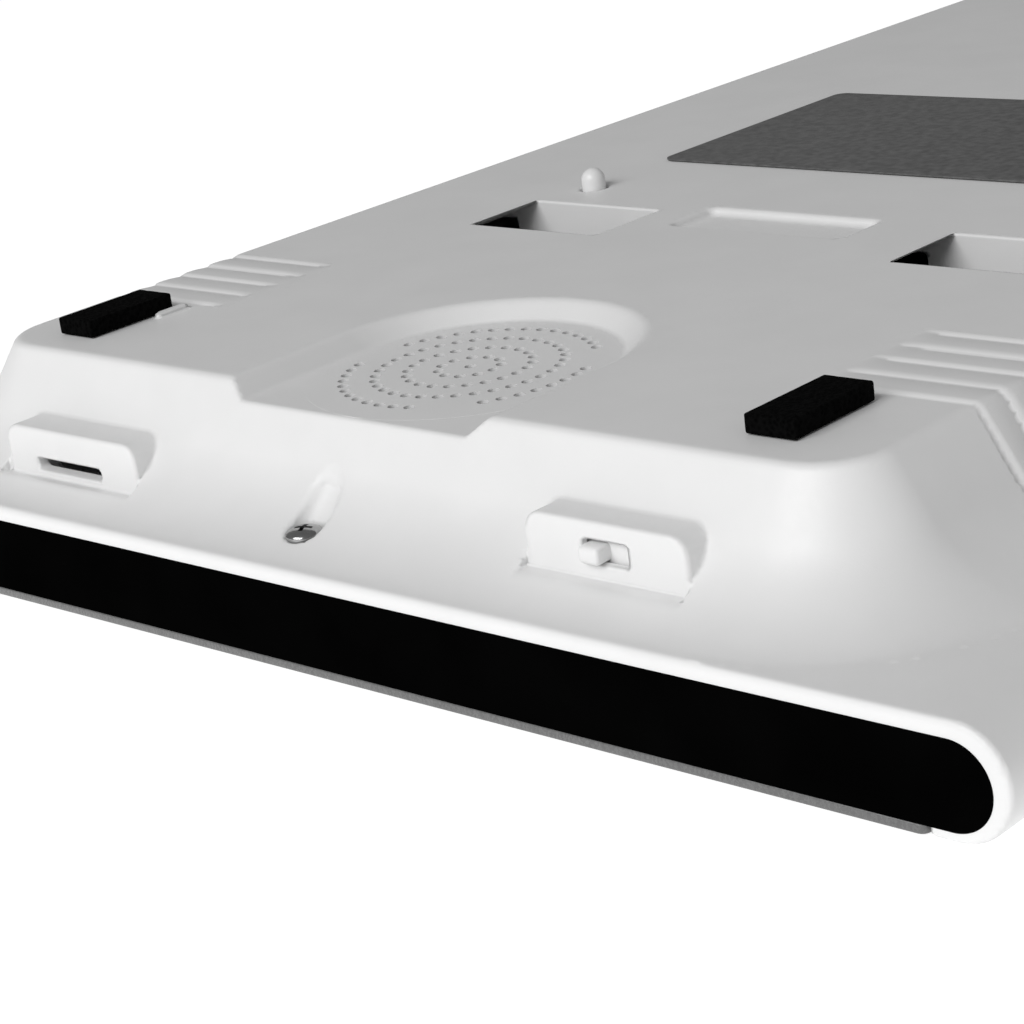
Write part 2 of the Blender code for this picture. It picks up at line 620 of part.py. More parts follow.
def speaker():
    centre = (0.0, RECESS_CENTRE)
    top = BACK - RECESS_DEPTH - RECESS_WALL - SEAM
    r = SPEAKER_RADIUS
    ring = [(r - 1.4, top), (r, top), (r, top - 0.5), (r - 1.4, top - 0.5), (r - 1.4, top)]
    turned("speaker_gasket", ring, centre, FOAM)
    rim = top - 0.5 - SEAM
    basket = [(r - 1.2, rim), (r, rim), (r, rim - 0.8), (r - 2.2, rim - 2.6), (7.6, rim - 2.6), (7.6, 9.0),
              (0.0, 9.0), (0.0, rim - 3.0), (6.0, rim - 2.4), (r - 2.8, rim - 2.0), (r - 1.2, rim - 0.8),
              (r - 1.2, rim)]
    turned("speaker_frame", basket, centre, DARK_ABS)
    cone = [(0.0, rim - 0.9), (2.8, rim - 1.2), (4.0, rim - 1.7), (r - 3.4, rim - 0.5), (r - 1.5, rim - 0.2),
            (r - 1.5, rim - 0.5), (r - 3.2, rim - 0.9), (4.0, rim - 2.0), (2.8, rim - 1.5), (0.0, rim - 1.2)]
    turned("speaker_cone", cone, centre, PAPER_CONE)
    tube("speaker_lead", [(9.5, 34.6, 9.5), (11.5, 37.6, 9.3), (14.5, 41.1, 9.1), (16.5, 45.1, 8.9)], 0.4, WIRE)


def tamper_switch():
    """Plunger that the wall holds down, the switch under it, and its spring at the length it has when pressed."""
    x, y = PLUNGER_AT
    top = BACK - 3.6 - SEAM
    r = PLUNGER_RADIUS
    dome = [(r * math.sin(a), PLUNGER_TOP - r + r * math.cos(a)) for a in [math.radians(22.5 * i) for i in range(5)]]
    stem = [(r, top), (2.2, top), (2.2, top - 0.6), (0.7, top - 0.6), (0.7, top - 2.0), (0.0, top - 2.0)]
    turned("tamper_plunger", dome + stem, PLUNGER_AT, WHITE)
    base = BOARD_Z[1] + SEAM
    box("tamper_switch", (x - 3.0, x + 3.0), (y - 3.0, y + 3.0), (base, base + 1.4), CHIP, bevel=0.1)
    low, high = base + 1.4 + GAP, top - 0.6 - GAP - PLUNGER_TRAVEL
    steps = 24
    whole = 4 * math.pi
    turn = [(x + 1.5 * math.cos(a), y + 1.5 * math.sin(a), low + (high - low) * a / whole)
            for a in [whole * i / steps for i in range(steps + 1)]]
    tube("tamper_spring", turn, 0.15, STEEL, resolution=0)


def battery():
    box("battery_pack", (-28.0, 28.0), (125.0, 169.0), (8.8, 14.4), BATTERY, bevel=0.8)
    top = BOARD_Z[1] + SEAM
    box("battery_plug", (14.0, 21.0), (111.0, 116.0), (top, top + 4.2), WHITE, bevel=0.2)
    tube("battery_lead", [(17.5, 116.4, 10.6), (17.8, 119.0, 10.8), (18.4, 122.0, 11.2), (18.6, 124.5, 11.4)], 0.8, WIRE)


def antenna():
    box("antenna_strip", (-34.0, 34.0), (114.0, 119.5), (14.2, 14.5), FLEX)
    points = [(-8.0, 106.5, 9.6), (-8.4, 109.0, 10.4), (-9.2, 111.5, 11.8), (-9.8, 114.5, 13.6)]
    tube("antenna_lead", points, 0.45, CHIP)


def screws():
    x, end = COVER_SCREW_AT
    low, high = COVER_SCREW_HEAD_Z
    head = COVER_SCREW_HEAD_RADIUS
    tip = COVER_SCREW_TIP
    pan = [(0.0, high), (head - 0.3, high), (head, high - 0.3), (head, low)]
    pan += [(0.7, low), (0.7, tip + 0.6), (0.2, tip), (0.0, tip)]
    for name, y in (("cover_screw_bottom", end), ("cover_screw_top", LENGTH - end)):
        piece = turned(name, pan, (x, y), STEEL, steps=20)
        for i, (a, b) in enumerate(((0.8, 0.2), (0.2, 0.8))):
            cut(piece, box(f"cross_{name}_{i}", (x - a, x + a), (y - b, y + b), (high - 0.6, high + 0.5)))
    headed_below(BOSSES, "board_screw", (5.5, 6.2), 13.6)
    headed_below(FRAME_SCREWS, "frame_screw", (FRAME_Z[0], 1.6), 5.8)


def headed_below(places, name, head, tip):
    """Equal screws driven from the front side, one object each."""
    profile = [(0.0, tip), (0.8, tip), (0.8, head[1]), (1.8, head[1]), (1.8, head[0]), (0.0, head[0])]
    for number, at in enumerate(places, 1):
        turned(f"{name}_{number}", profile, at, STEEL, steps=12)


def foam_pads():
    half_x, half_y = PAD_SIZE[0] / 2, PAD_SIZE[1] / 2
    spots = {
        "foot_pad_bottom_left": PAD_BOTTOM_LEFT,
        "foot_pad_bottom_right": PAD_BOTTOM_RIGHT,
        "foot_pad_top_left": (-PAD_TOP[0], PAD_TOP[1]),
        "foot_pad_top_right": PAD_TOP,
    }
    z = (BACK + 0.1, BACK + 0.1 + PAD_SIZE[2])
    for name, (x, y) in spots.items():
        box(name, (x - half_x, x + half_x), (y - half_y, y + half_y), z, FOAM)


def main():
    rear_shell()
    front_plate()
    front_frame()
    end_cap("end_cap_bottom", False)
    end_cap("end_cap_top", True)
    display_module()
    boards()
    usb_socket()
    power_switch()
    speaker()
    tamper_switch()
    battery()
    antenna()
    screws()
    foam_pads()
    box("rating_label", (-26.0, 26.0), (77.5, 106.0), (BACK + 0.1, BACK + 0.25), LABEL)


main()
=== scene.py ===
"""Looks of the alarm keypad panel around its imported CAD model.

The frame is the CAD's: metres, the panel on its front plate, +Z out of its back, +Y to its top end.
Lengths below are in millimetres, and y is measured from the bottom end, until a mesh is made from them.
"""

import json
import math

import bmesh
import bpy
import numpy as np
from mathutils import Matrix, Vector, noise


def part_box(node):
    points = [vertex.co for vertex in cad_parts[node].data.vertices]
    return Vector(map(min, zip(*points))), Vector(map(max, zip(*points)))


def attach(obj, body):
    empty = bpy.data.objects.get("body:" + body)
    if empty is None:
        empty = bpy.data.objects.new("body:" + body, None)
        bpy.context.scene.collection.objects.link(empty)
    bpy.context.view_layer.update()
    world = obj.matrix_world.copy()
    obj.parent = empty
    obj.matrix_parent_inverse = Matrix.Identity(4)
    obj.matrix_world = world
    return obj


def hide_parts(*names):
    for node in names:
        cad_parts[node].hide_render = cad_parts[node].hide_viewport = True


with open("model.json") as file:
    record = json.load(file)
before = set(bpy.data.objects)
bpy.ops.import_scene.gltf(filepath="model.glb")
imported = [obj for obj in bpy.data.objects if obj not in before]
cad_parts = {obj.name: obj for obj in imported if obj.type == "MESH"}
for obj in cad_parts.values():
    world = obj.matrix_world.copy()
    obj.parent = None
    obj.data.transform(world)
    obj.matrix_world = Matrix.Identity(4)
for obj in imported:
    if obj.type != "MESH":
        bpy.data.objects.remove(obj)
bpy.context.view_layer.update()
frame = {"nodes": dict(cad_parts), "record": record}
NODES = frame["nodes"]
RECORD = frame["record"]
MM = 0.001
SAME_POINT = 0.000002  # metres
TURN_STEPS = 48  # sides of a turned piece


def limits(node):
    """(x, y, z) limits of a CAD node in millimetres, y from the bottom end."""
    low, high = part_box(node)
    shift = Vector((0.0, -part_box("rear_shell")[0].y, 0.0))
    return [tuple(pair) for pair in zip((low + shift) / MM, (high + shift) / MM)]


def middle(node):
    return [sum(pair) / 2 for pair in limits(node)]


def opening(name):
    """(x, y) limits of one of the record's stated openings."""
    found = [box for box in RECORD["physics"]["openings"] if box["name"] == name][0]
    low, high = (Vector(corner) / MM for corner in found["box_m"])
    half = LENGTH / 2
    return (low.x, high.x), (low.y + half, high.y + half)


def mount_height(name):
    """Height of one of the record's mounts above the front."""
    found = [mount for mount in RECORD["mounts"] if mount["name"] == name][0]
    return found["pos_m"][2] / MM


def slot_mouth(name):
    """(x, y) limits of a hook slot's mouth, a little wider than the opening that the record keeps clear."""
    (left, right), (near, far) = opening(name)
    return (left - SLOT_SIDE, right + SLOT_SIDE), (near - SLOT_NEAR, far + SLOT_SIDE)


# Body
WIDTH = limits("rear_shell")[0][1] * 2
LENGTH = limits("rear_shell")[1][1]
BACK = mount_height("wall_face")  # height of the raised back
SLAB_TOP = 7.75  # height of the flat part round it
SLAB_BLEND = 0.05
END_ROLL = 0.35  # radius along the slab's end edges
BACK_HALF_WIDTH = 43.8
BACK_END = 11.4  # from the slab's end to the raised back's edge
BACK_CORNER = 5.0
BACK_ROLL = 0.4  # radius along the raised back's edge
BACK_FOOT = 2.0  # how far the raised part reaches down into the slab
FLANK_RUN = 0.63  # run of the sloped flanks for each unit of fall
FLANK_COS = 1.0 / math.hypot(1.0, FLANK_RUN)
VALLEY_BLEND = 4.5  # radius of the hollow curve from flank to slab
VALLEY_END = 11.05  # how far the hollow curve reaches from the raised back's edge

# Front, ends and the space inside
PLATE_HALF_WIDTH = limits("front_plate")[0][1]
PLATE_INNER = limits("end_cap_bottom")[2][0]
PLATE_CORNER = 0.6
PLATE_EDGE = 0.12
CAP_PROUD = 0.08  # the caps' faces stand this far out of the shell's ends
STRIP_THICK = 0.3
STRIP_EDGE = 0.08
SEAM = 0.2  # gap round the front plate
WALL = 2.0  # thickness of the raised back and its flanks
POCKET_TOP = 6.2  # of the wide space over the front plate
POCKET_END = 2.3  # from the shell's ends to that space
ROOM_BOTTOM = 4.0  # of the room under the raised back
INNER_CORNER = 0.3
BOSS_AT = [middle(f"board_screw_{i}")[:2] for i in range(1, 5)]
BOSS_RADIUS = 2.6
BOSS_BOTTOM = limits("main_board")[2][1] + 0.2

# Speaker recess and grille
RECESS_CENTRE = middle("speaker_frame")[1]
RECESS_DEPTH = 1.4
RECESS_FLOOR = 11.75  # half width of its floor
RECESS_RUN = 1.2  # run of its walls for each unit of depth
RECESS_FILLET = 0.15
RECESS_EDGE = 0.25
RECESS_SKIRT = 3.6  # width of the solid round its floor, seen from inside
RECESS_WALL = 1.7  # thickness of that solid
RECESS_NEAR = 10.0  # y at which that solid starts
GRILLE_OPENING = 10.9  # radius of the shell's hole under the grille
GRILLE_BOTTOM = 12.0
GRILLE_DISC = 12.6  # radius of the grille itself
GRILLE_THICK = 0.3
GRILLE_LIFT = 0.008  # of its face over the recess's floor
GRILLE_RINGS = 4
GRILLE_PITCH = 2.42
GRILLE_PER_RING = 11
GRILLE_HOLE = 0.45  # radius
GRILLE_GAPS = (34.0, 180.0, 304.0)  # bearings, in degrees, where the outer ring has no holes
GRILLE_GAP_HALF = 13.0

# Finger grooves
GROOVES = 5
GROOVE_START = 25.2
GROOVE_EXTRA = 0.5  # the first groove is this much wider than the others
GROOVE_PITCH = 3.12
GROOVE_DEPTH = 0.22
GROOVE_RISE = 0.2  # share of the pitch in which the surface rises again
GROOVE_CURVE = 2.2  # how late in the pitch it falls
GROOVE_INNER = 31.0  # from the body's middle to their inner ends
GROOVE_INNER_FADE = 2.2
GROOVE_FOOT = 9.6  # height where they end on the flank
GROOVE_FOOT_FADE = 1.2
GROOVE_FLANK_DEPTH = 0.7  # share by which they are deeper on the flank
GROOVE_FLANK_FADE = 2.0

# Hook slots
SLOT_SIDE = 0.6  # mouth's margin round the record's opening
SLOT_NEAR = 0.7  # the same at its near end
SLOT_CORNER = 0.4
SLOT_EDGE = 0.12
SLOT_DEPTH = 6.0
SLOT_WALL = 1.2  # thickness of the walls round a slot inside
SLOT_WALL_LEFT = 3.0  # how far a slot's walls reach past its open side
SLOT_WALL_DEPTH = 5.5
SLOT_LIP = 0.12  # thickness of the back at the undercut side's edge
SLOT_LEAN = 2.6  # run of the undercut for each unit of depth
SLOT_REACH = 5.0  # of the undercut, from the mouth's edge
SLOTS = [slot_mouth(name) for name in ("hook_slot_left", "hook_slot_right")]

# Label recess and the rib beside the left pad
LABEL_HALF_WIDTH = 9.1
LABEL_Y = (58.0, 64.1)
LABEL_DEPTH = 0.65
LABEL_CORNER = 1.0
LABEL_RUN = 0.6  # run of its walls for each unit of depth
LABEL_WALL = 1.17  # about their length for each unit of depth
LABEL_FILLET = 0.3
LABEL_EDGE = 0.25
RIB_START = limits("foot_pad_bottom_left")[0][1] + 0.3
RIB_X = (RIB_START, RIB_START + 0.6)
RIB_Y = (20.9, 24.3)
RIB_Z = (BACK - 1.0, BACK + 0.45)
RIB_CORNER = 0.3
RIB_BLEND = 0.2

# Bumps over the inlet and the switch: x, z, y of the face, and rise of the notch's floor under it
USB_BUMP = ((-35.7, -19.5), (8.3, 12.35), 5.5, 0.25)
SWITCH_BUMP = ((20.7, 34.8), (8.9, 12.9), 6.1, 0.0)
BUMP_CORNER = 1.5
BUMP_EDGE = 0.3
BUMP_BLEND = 0.2
BUMP_FOOT = 2.5  # how far a bump goes on below its stated foot, into the slab
BUMP_LENGTH = 6.0  # from its face back into the flank
NOTCH_PAST = 0.5  # how far a notch reaches behind its bump's face
ROOM_END = 13.0  # how far the rooms behind the bumps reach

# Inlet and switch
USB_SLOT = ((-32.1, -24.0), (8.9, 9.85))
USB_CORNER = 0.45
USB_EDGE = 0.12
USB_TUNNEL = 1.2  # length of the slot before it opens into the room behind
USB_ROOM = ((USB_SLOT[0][0] - 0.5, USB_SLOT[0][1] + 0.5), (SLAB_TOP, 11.0))
SWITCH_OPENING = ((26.0, 29.72), (10.05, 11.6))
SWITCH_CORNER = 0.12
SWITCH_EDGE = 0.1
SWITCH_WALL = 0.6  # thickness of the wall round the opening
SWITCH_ROOM = ((23.2, 32.3), (8.0, 12.1))
KNOB_WIDTH = 1.75
KNOB_ROOT = 7.1  # y where the knob ends in its cover plate
KNOB_EDGE = 0.32
KNOB_TOP_GAP = 0.26
KNOB_FOOT_GAP = 0.04
COVER_LONGER = 0.6  # on its -X side, so that the opening stays closed
COVER_Y = (6.8, 7.2)
STEM_WIDTH = 1.0
STEM_Z = (10.4, 10.9)

# Tamper plunger
PLUNGER = middle("tamper_plunger")
PLUNGER_RADIUS = 1.1
PLUNGER_BORE = 1.32  # radius of its hole in the back
PLUNGER_BORE_BOTTOM = 8.0
PLUNGER_BORE_EDGE = 0.15
PLUNGER_GUIDE = 2.6  # radius of the solid round that hole, seen from inside
PLUNGER_GUIDE_DEPTH = 3.6
COLLAR_RADIUS = 2.2
COLLAR_TOP = 2.0  # above the pin's end
COLLAR_THICK = 0.6
PIN_RADIUS = 0.7

# Cover screws and their scoops
SCREW = middle("cover_screw_bottom")
SCREW_TOP = limits("cover_screw_bottom")[2][1]
SCREW_BORE = 1.0  # radius of the shank's hole in the shell
SCREW_BORE_BOTTOM = 3.0
SCOOP_RADIUS = 1.52
SCOOP_AT = (0.0, 5.05)
SCOOP_RISE = 2.15  # height over which its inner wall leans
SCOOP_LEAN = 0.85  # how far its inner wall leans back for each unit of height
SCOOP_FLOOR = 1.0  # below the screw's top
SCOOP_FILLET = 0.15
SCOOP_EDGE = 0.4
HEAD_RADIUS = 1.42
HEAD_LIFT = 0.2  # of the head over the CAD screw's top
HEAD_DOME = 0.5
HEAD_THICK = 0.8
SHANK_RADIUS = 0.72
THREAD_RADIUS = 0.95
THREAD_START = 1.3
THREAD_TURNS = 8
THREAD_PITCH = 0.45
CROSS_TURN = 25.0  # degrees
CROSS_ARMS = ((0.95, 0.19), (0.19, 0.95))  # half sizes of its two arms
CROSS_HEIGHT = 1.6  # of its cutters, which stand about half out of the head
CROSS_LONG_TAPER = 0.55  # an arm's length at its foot as a share of that at its top
CROSS_SHORT_TAPER = 0.8  # the same for its width

# Print on the front
KEY_SIGNS = "123456789-0-"
KEY_COLUMN = 26.0
KEY_ROW = 19.0
KEY_FIRST_ROW = 12.0  # from the touch board's far edge
KEY_RING = (7.4, 7.1)  # outer and inner radius
DIGIT_HEIGHT = 7.0
BAR_HALF = 2.2
BAR_THICK = 0.7
PRINT_THICK = 0.03
PRINT_LEVEL = 0.024  # height of the print's middle
PLATE_LIFT = 0.04  # room left for the print under the plate
WINDOW_INSET = 2.0
WINDOW_CORNER = 0.8

# Meshing of the shell
STEP_ACROSS = 0.42
STEP_ALONG = 0.42
STEP_AT_END = 0.34
STEP_COARSE = 2.0  # where nothing changes along the body
STEP_UP = 0.36
FINE_END = 12.0
FEATURES_END = 70.0
FAR_END = LENGTH - 13.0
GRID_MARGIN = 0.6
GRID_BELOW = 0.5
GRID_ABOVE = 1.3
PULL_PASSES = 2  # how often the mesh's points are pulled to the surface
LONGEST_PULL = 0.2
MOST_TRIANGLES = 180_000  # of the shell


# ---------------------------------------------------------------- distance fields


def union_round(a, b, r):
    """Union of two fields, its inner corner filled to radius r."""
    return np.maximum(r, np.minimum(a, b)) - np.hypot(np.maximum(r - a, 0), np.maximum(r - b, 0))


def meet_round(a, b, r):
    """What two fields share, its edge rounded to radius r."""
    return -union_round(-a, -b, r)


def cut_round(a, tool, r):
    """A field less a tool, the edge of the cut rounded to radius r."""
    return -union_round(-a, tool, r)


def between(v, low, high):
    """Distance to a band."""
    return np.abs(v - (low + high) / 2) - (high - low) / 2


def rectangle(u, v, u_limits, v_limits, radius):
    """Distance, in a plane, to a rectangle with round corners."""
    a = between(u, *u_limits) + radius
    b = between(v, *v_limits) + radius
    return np.hypot(np.maximum(a, 0), np.maximum(b, 0)) + np.minimum(np.maximum(a, b), 0) - radius


def stadium(x, z, half_width, z_limits):
    """Distance to a flat bar's section with half-round sides."""
    radius = (z_limits[1] - z_limits[0]) / 2
    off_middle = z - (z_limits[0] + z_limits[1]) / 2
    return np.hypot(np.maximum(np.abs(x) - half_width + radius, 0), off_middle) - radius


def spread_of(x, y):
    """How far outside the raised back's top edge a point lies, seen from above."""
    return rectangle(x, y, (-BACK_HALF_WIDTH, BACK_HALF_WIDTH), (BACK_END, LENGTH - BACK_END), BACK_CORNER)


def outer_body(x, y, z):
    """Flat body with the raised back on it, its flanks running out into the flat part in one hollow curve."""
    ends = between(y, CAP_PROUD, LENGTH - CAP_PROUD)
    slab = meet_round(stadium(x, z, WIDTH / 2, (0.0, SLAB_TOP)), ends, END_ROLL)
    spread = spread_of(x, y)
    flank = (spread - (BACK - z) * FLANK_RUN) * FLANK_COS
    raised = union_round(z - SLAB_TOP, flank, VALLEY_BLEND)
    raised = np.maximum(meet_round(raised, z - BACK, BACK_ROLL), spread - VALLEY_END)
    return union_round(slab, np.maximum(raised, SLAB_TOP - BACK_FOOT - z), SLAB_BLEND)


def groove_depth(x, y, z):
    """Depth of the finger grooves: an abrupt near edge, then each rises to a crest and falls to the next."""
    steps = np.maximum((y - GROOVE_START - GROOVE_EXTRA) / GROOVE_PITCH, 0.0)
    share = steps - np.floor(steps)
    rise = 1.0 - np.sin(np.minimum(share / GROOVE_RISE, 1.0) * math.pi / 2)
    fall = np.clip((share - GROOVE_RISE) / (1.0 - GROOVE_RISE), 0.0, 1.0) ** GROOVE_CURVE
    depth = rise + np.where(steps < GROOVES - 1, fall, 0.0)
    inside = (y > GROOVE_START) & (steps < GROOVES)
    inner = np.clip((np.abs(x) - GROOVE_INNER) / GROOVE_INNER_FADE, 0.0, 1.0)
    low = np.clip((z - GROOVE_FOOT) / GROOVE_FOOT_FADE, 0.0, 1.0)
    deeper = 1.0 + GROOVE_FLANK_DEPTH * np.clip(spread_of(x, y) / GROOVE_FLANK_FADE, 0.0, 1.0)
    return np.where(inside, depth * GROOVE_DEPTH, 0.0) * np.sqrt(inner) * low * deeper


def recess_plan(x, y):
    """Distance, seen from above, to the line up the middle of the speaker recess."""
    return np.where(y > RECESS_CENTRE, np.hypot(x, y - RECESS_CENTRE), np.abs(x))


def bump(x, y, z, sides, heights, front):
    """A block with a flat upright face that stands out of the flank."""
    face = rectangle(x, z, sides, (heights[0] - BUMP_FOOT, heights[1]), BUMP_CORNER)
    return meet_round(face, np.maximum(front - y, y - front - BUMP_LENGTH), BUMP_EDGE)


def notch(x, y, z, sides, heights, front, rise):
    """What is cut from the flank in front of a bump, down to its foot."""
    floor_level = heights[0] + (front - y) * rise
    return np.maximum(np.maximum(between(x, *sides), y - front - NOTCH_PAST), floor_level - z)


def slot_walls(x, y, z, sides, depths):
    """Walls that stand round a hook slot inside, open on its -X side."""
    reach = (sides[0] - SLOT_WALL_LEFT, sides[1] + SLOT_WALL)
    outer = rectangle(x, y, reach, (depths[0] - SLOT_WALL, depths[1] + SLOT_WALL), INNER_CORNER)
    inner = rectangle(x, y, (sides[0] - SLOT_WALL_LEFT - 1.0, sides[1]), depths, INNER_CORNER)
    return np.maximum(np.maximum(outer, -inner), BACK - SLOT_WALL_DEPTH - z)


def slot_undercut(x, y, z, sides, depths):
    """Room for a hook beside its slot, under a back that thins to an edge."""
    lean = (sides[0] - (BACK - SLOT_LIP - z) * SLOT_LEAN - x) / math.hypot(1.0, SLOT_LEAN)
    plan = np.maximum(between(x, sides[0] - SLOT_REACH, sides[0] + 1.0), between(y, *depths))
    return np.maximum(np.maximum(lean, plan), between(z, BACK - SLOT_WALL_DEPTH, BACK - SLOT_LIP))


def hollow(x, y, z):
    """The space inside, open at the front, less the walls and guides that stand in it."""
    sides = np.abs(x) - PLATE_HALF_WIDTH - SEAM
    plate = np.maximum(sides, z - PLATE_INNER - SEAM)
    pocket = np.maximum(np.maximum(sides, between(y, POCKET_END, LENGTH - POCKET_END)), z - POCKET_TOP)
    inset = WALL / FLANK_COS
    back = (spread_of(x, y) - (BACK - z) * FLANK_RUN + inset) * FLANK_COS
    back = np.maximum(np.maximum(back, z - BACK + WALL), ROOM_BOTTOM - z)
    skirt = recess_plan(x, y) - RECESS_FLOOR - RECESS_SKIRT
    speaker = np.maximum(skirt, BACK - RECESS_DEPTH - RECESS_WALL - z)
    back = np.maximum(back, -np.maximum(speaker, RECESS_NEAR - y))
    for mouth in SLOTS:
        back = np.maximum(back, -slot_walls(x, y, z, *mouth))
        back = np.minimum(back, slot_undercut(x, y, z, *mouth))
    guide = np.hypot(x - PLUNGER[0], y - PLUNGER[1]) - PLUNGER_GUIDE
    back = np.maximum(back, -np.maximum(guide, BACK - PLUNGER_GUIDE_DEPTH - z))
    for boss_x, boss_y in BOSS_AT:
        boss = np.hypot(x - boss_x, y - boss_y) - BOSS_RADIUS
        back = np.maximum(back, -np.maximum(boss, BOSS_BOTTOM - z))
    return np.minimum(np.minimum(plate, pocket), back)


def speaker_recess(x, y, z):
    """Recess over the speaker, with sloped walls, that runs out through the bottom flank."""
    level = BACK - RECESS_DEPTH
    wall = (recess_plan(x, y) - RECESS_FLOOR - (z - level) * RECESS_RUN) / math.hypot(1.0, RECESS_RUN)
    return meet_round(wall, level - z, RECESS_FILLET)


def label_recess(x, y, z):
    plan = rectangle(x, y, (-LABEL_HALF_WIDTH, LABEL_HALF_WIDTH), LABEL_Y, LABEL_CORNER)
    return meet_round((plan - (z - BACK) * LABEL_RUN) / LABEL_WALL, BACK - LABEL_DEPTH - z, LABEL_FILLET)


def screw_scoop(x, from_end, z):
    """Scoop in the flank over a cover screw, its inner wall leaning back."""
    behind = from_end - SCOOP_AT[1]
    lean = np.clip(z - SCREW_TOP, 0.0, SCOOP_RISE) * SCOOP_LEAN
    away = np.hypot(x - SCOOP_AT[0], behind - np.minimum(np.maximum(behind, 0.0), lean))
    return meet_round(away - SCOOP_RADIUS, SCREW_TOP - SCOOP_FLOOR - z, SCOOP_FILLET)


def shell_outside(x, y, z):
    """The shell's outer form, with all that is raised on it or sunk into it."""
    body = outer_body(x, y, z)
    for sides, heights, front, rise in (USB_BUMP, SWITCH_BUMP):
        body = cut_round(body, notch(x, y, z, sides, heights, front, rise), BUMP_BLEND)
        body = union_round(body, bump(x, y, z, sides, heights, front), BUMP_BLEND)
    body = body + groove_depth(x, y, z)
    body = cut_round(body, speaker_recess(x, y, z), RECESS_EDGE)
    for sides, depths in SLOTS:
        mouth = np.maximum(rectangle(x, y, sides, depths, SLOT_CORNER), BACK - SLOT_DEPTH - z)
        body = cut_round(body, mouth, SLOT_EDGE)
    body = cut_round(body, label_recess(x, y, z), LABEL_EDGE)
    from_end = LENGTH / 2 - np.abs(y - LENGTH / 2)
    body = cut_round(body, screw_scoop(x, from_end, z), SCOOP_EDGE)
    bore = np.hypot(x - SCREW[0], from_end - SCREW[1]) - SCREW_BORE
    body = np.maximum(body, -np.maximum(bore, SCREW_BORE_BOTTOM - z))
    rib = np.maximum(rectangle(x, y, RIB_X, RIB_Y, RIB_CORNER), between(z, *RIB_Z))
    return union_round(body, rib, RIB_BLEND)


def shell_field(x, y, z):
    """Signed distance to the rear shell, about true near its surface."""
    body = np.maximum(shell_outside(x, y, z), -hollow(x, y, z))
    grille = np.hypot(x, y - RECESS_CENTRE) - GRILLE_OPENING
    body = np.maximum(body, -np.maximum(grille, between(z, GRILLE_BOTTOM, BACK + 1.0)))
    plunger_bore = np.hypot(x - PLUNGER[0], y - PLUNGER[1]) - PLUNGER_BORE
    body = cut_round(body, np.maximum(plunger_bore, PLUNGER_BORE_BOTTOM - z), PLUNGER_BORE_EDGE)
    inlet = np.maximum(rectangle(x, z, *USB_SLOT, USB_CORNER), y - ROOM_END)
    body = cut_round(body, inlet, USB_EDGE)
    behind = between(y, USB_BUMP[2] + USB_TUNNEL, ROOM_END)
    body = np.maximum(body, -np.maximum(rectangle(x, z, *USB_ROOM, INNER_CORNER), behind))
    window = np.maximum(rectangle(x, z, *SWITCH_OPENING, SWITCH_CORNER), y - ROOM_END)
    body = cut_round(body, window, SWITCH_EDGE)
    behind = between(y, SWITCH_BUMP[2] + SWITCH_WALL, ROOM_END)
    return np.maximum(body, -np.maximum(rectangle(x, z, *SWITCH_ROOM, INNER_CORNER), behind))


# ---------------------------------------------------------------- meshing a field


def grid_lines(*stretches):
    """Grid lines through stretches of (start, end, largest step)."""
    lines = [np.array([stretches[0][0]])]
    for start, end, step in stretches:
        count = int(math.ceil((end - start) / step))
        lines.append(np.linspace(start, end, count + 1)[1:])
    return np.concatenate(lines)


def net_points(values, axes, cells):
    """One point for each cell that the surface crosses: the mean of where its edges are crossed."""
    total = np.zeros((len(cells), 3))
    count = np.zeros(len(cells))
    corners = [(i, j, k) for i in (0, 1) for j in (0, 1) for k in (0, 1)]
    for a in corners:
        for b in corners:
            if sum(b) - sum(a) != 1 or any(q < p for p, q in zip(a, b)):
                continue
            at_a, at_b = cells + a, cells + b
            value_a, value_b = values[tuple(at_a.T)], values[tuple(at_b.T)]
            crossed = (value_a < 0) != (value_b < 0)
            share = np.where(crossed, value_a / np.where(crossed, value_a - value_b, 1.0), 0.0)[:, None]
            point_a = np.stack([axis[at_a[:, n]] for n, axis in enumerate(axes)], 1)
            point_b = np.stack([axis[at_b[:, n]] for n, axis in enumerate(axes)], 1)
            total += np.where(crossed[:, None], point_a + share * (point_b - point_a), 0.0)
            count += crossed
    return total / count[:, None]


def net_quads(inside, number):
    """A quad round each grid edge that the surface crosses, facing out."""
    quads = []
    for axis in range(3):
        first, second = (axis + 1) % 3, (axis + 2) % 3
        near = [slice(None)] * 3
        far = [slice(None)] * 3
        near[axis], far[axis] = slice(None, -1), slice(1, None)
        for other in (first, second):
            near[other] = far[other] = slice(1, -1)
        leaving = inside[tuple(near)] & ~inside[tuple(far)]
        entering = ~inside[tuple(near)] & inside[tuple(far)]
        for crossed, turn in ((leaving, 1), (entering, -1)):
            at = np.argwhere(crossed)
            corners = []
            for a, b in ((0, 0), (1, 0), (1, 1), (0, 1)):
                cell = at.copy()
                cell[:, first] += a
                cell[:, second] += b
                corners.append(number[tuple(cell.T)])
            quads.append(np.stack(corners[::turn], 1))
    return np.concatenate(quads)


def gradient(field, points, step=0.02):
    """Unit normals of a field at some points."""
    slopes = []
    for n in range(3):
        shift = np.zeros(3)
        shift[n] = step
        slopes.append(field(*(points + shift).T) - field(*(points - shift).T))
    slopes = np.stack(slopes, 1)
    return slopes / np.maximum(np.linalg.norm(slopes, axis=1), 1e-9)[:, None]


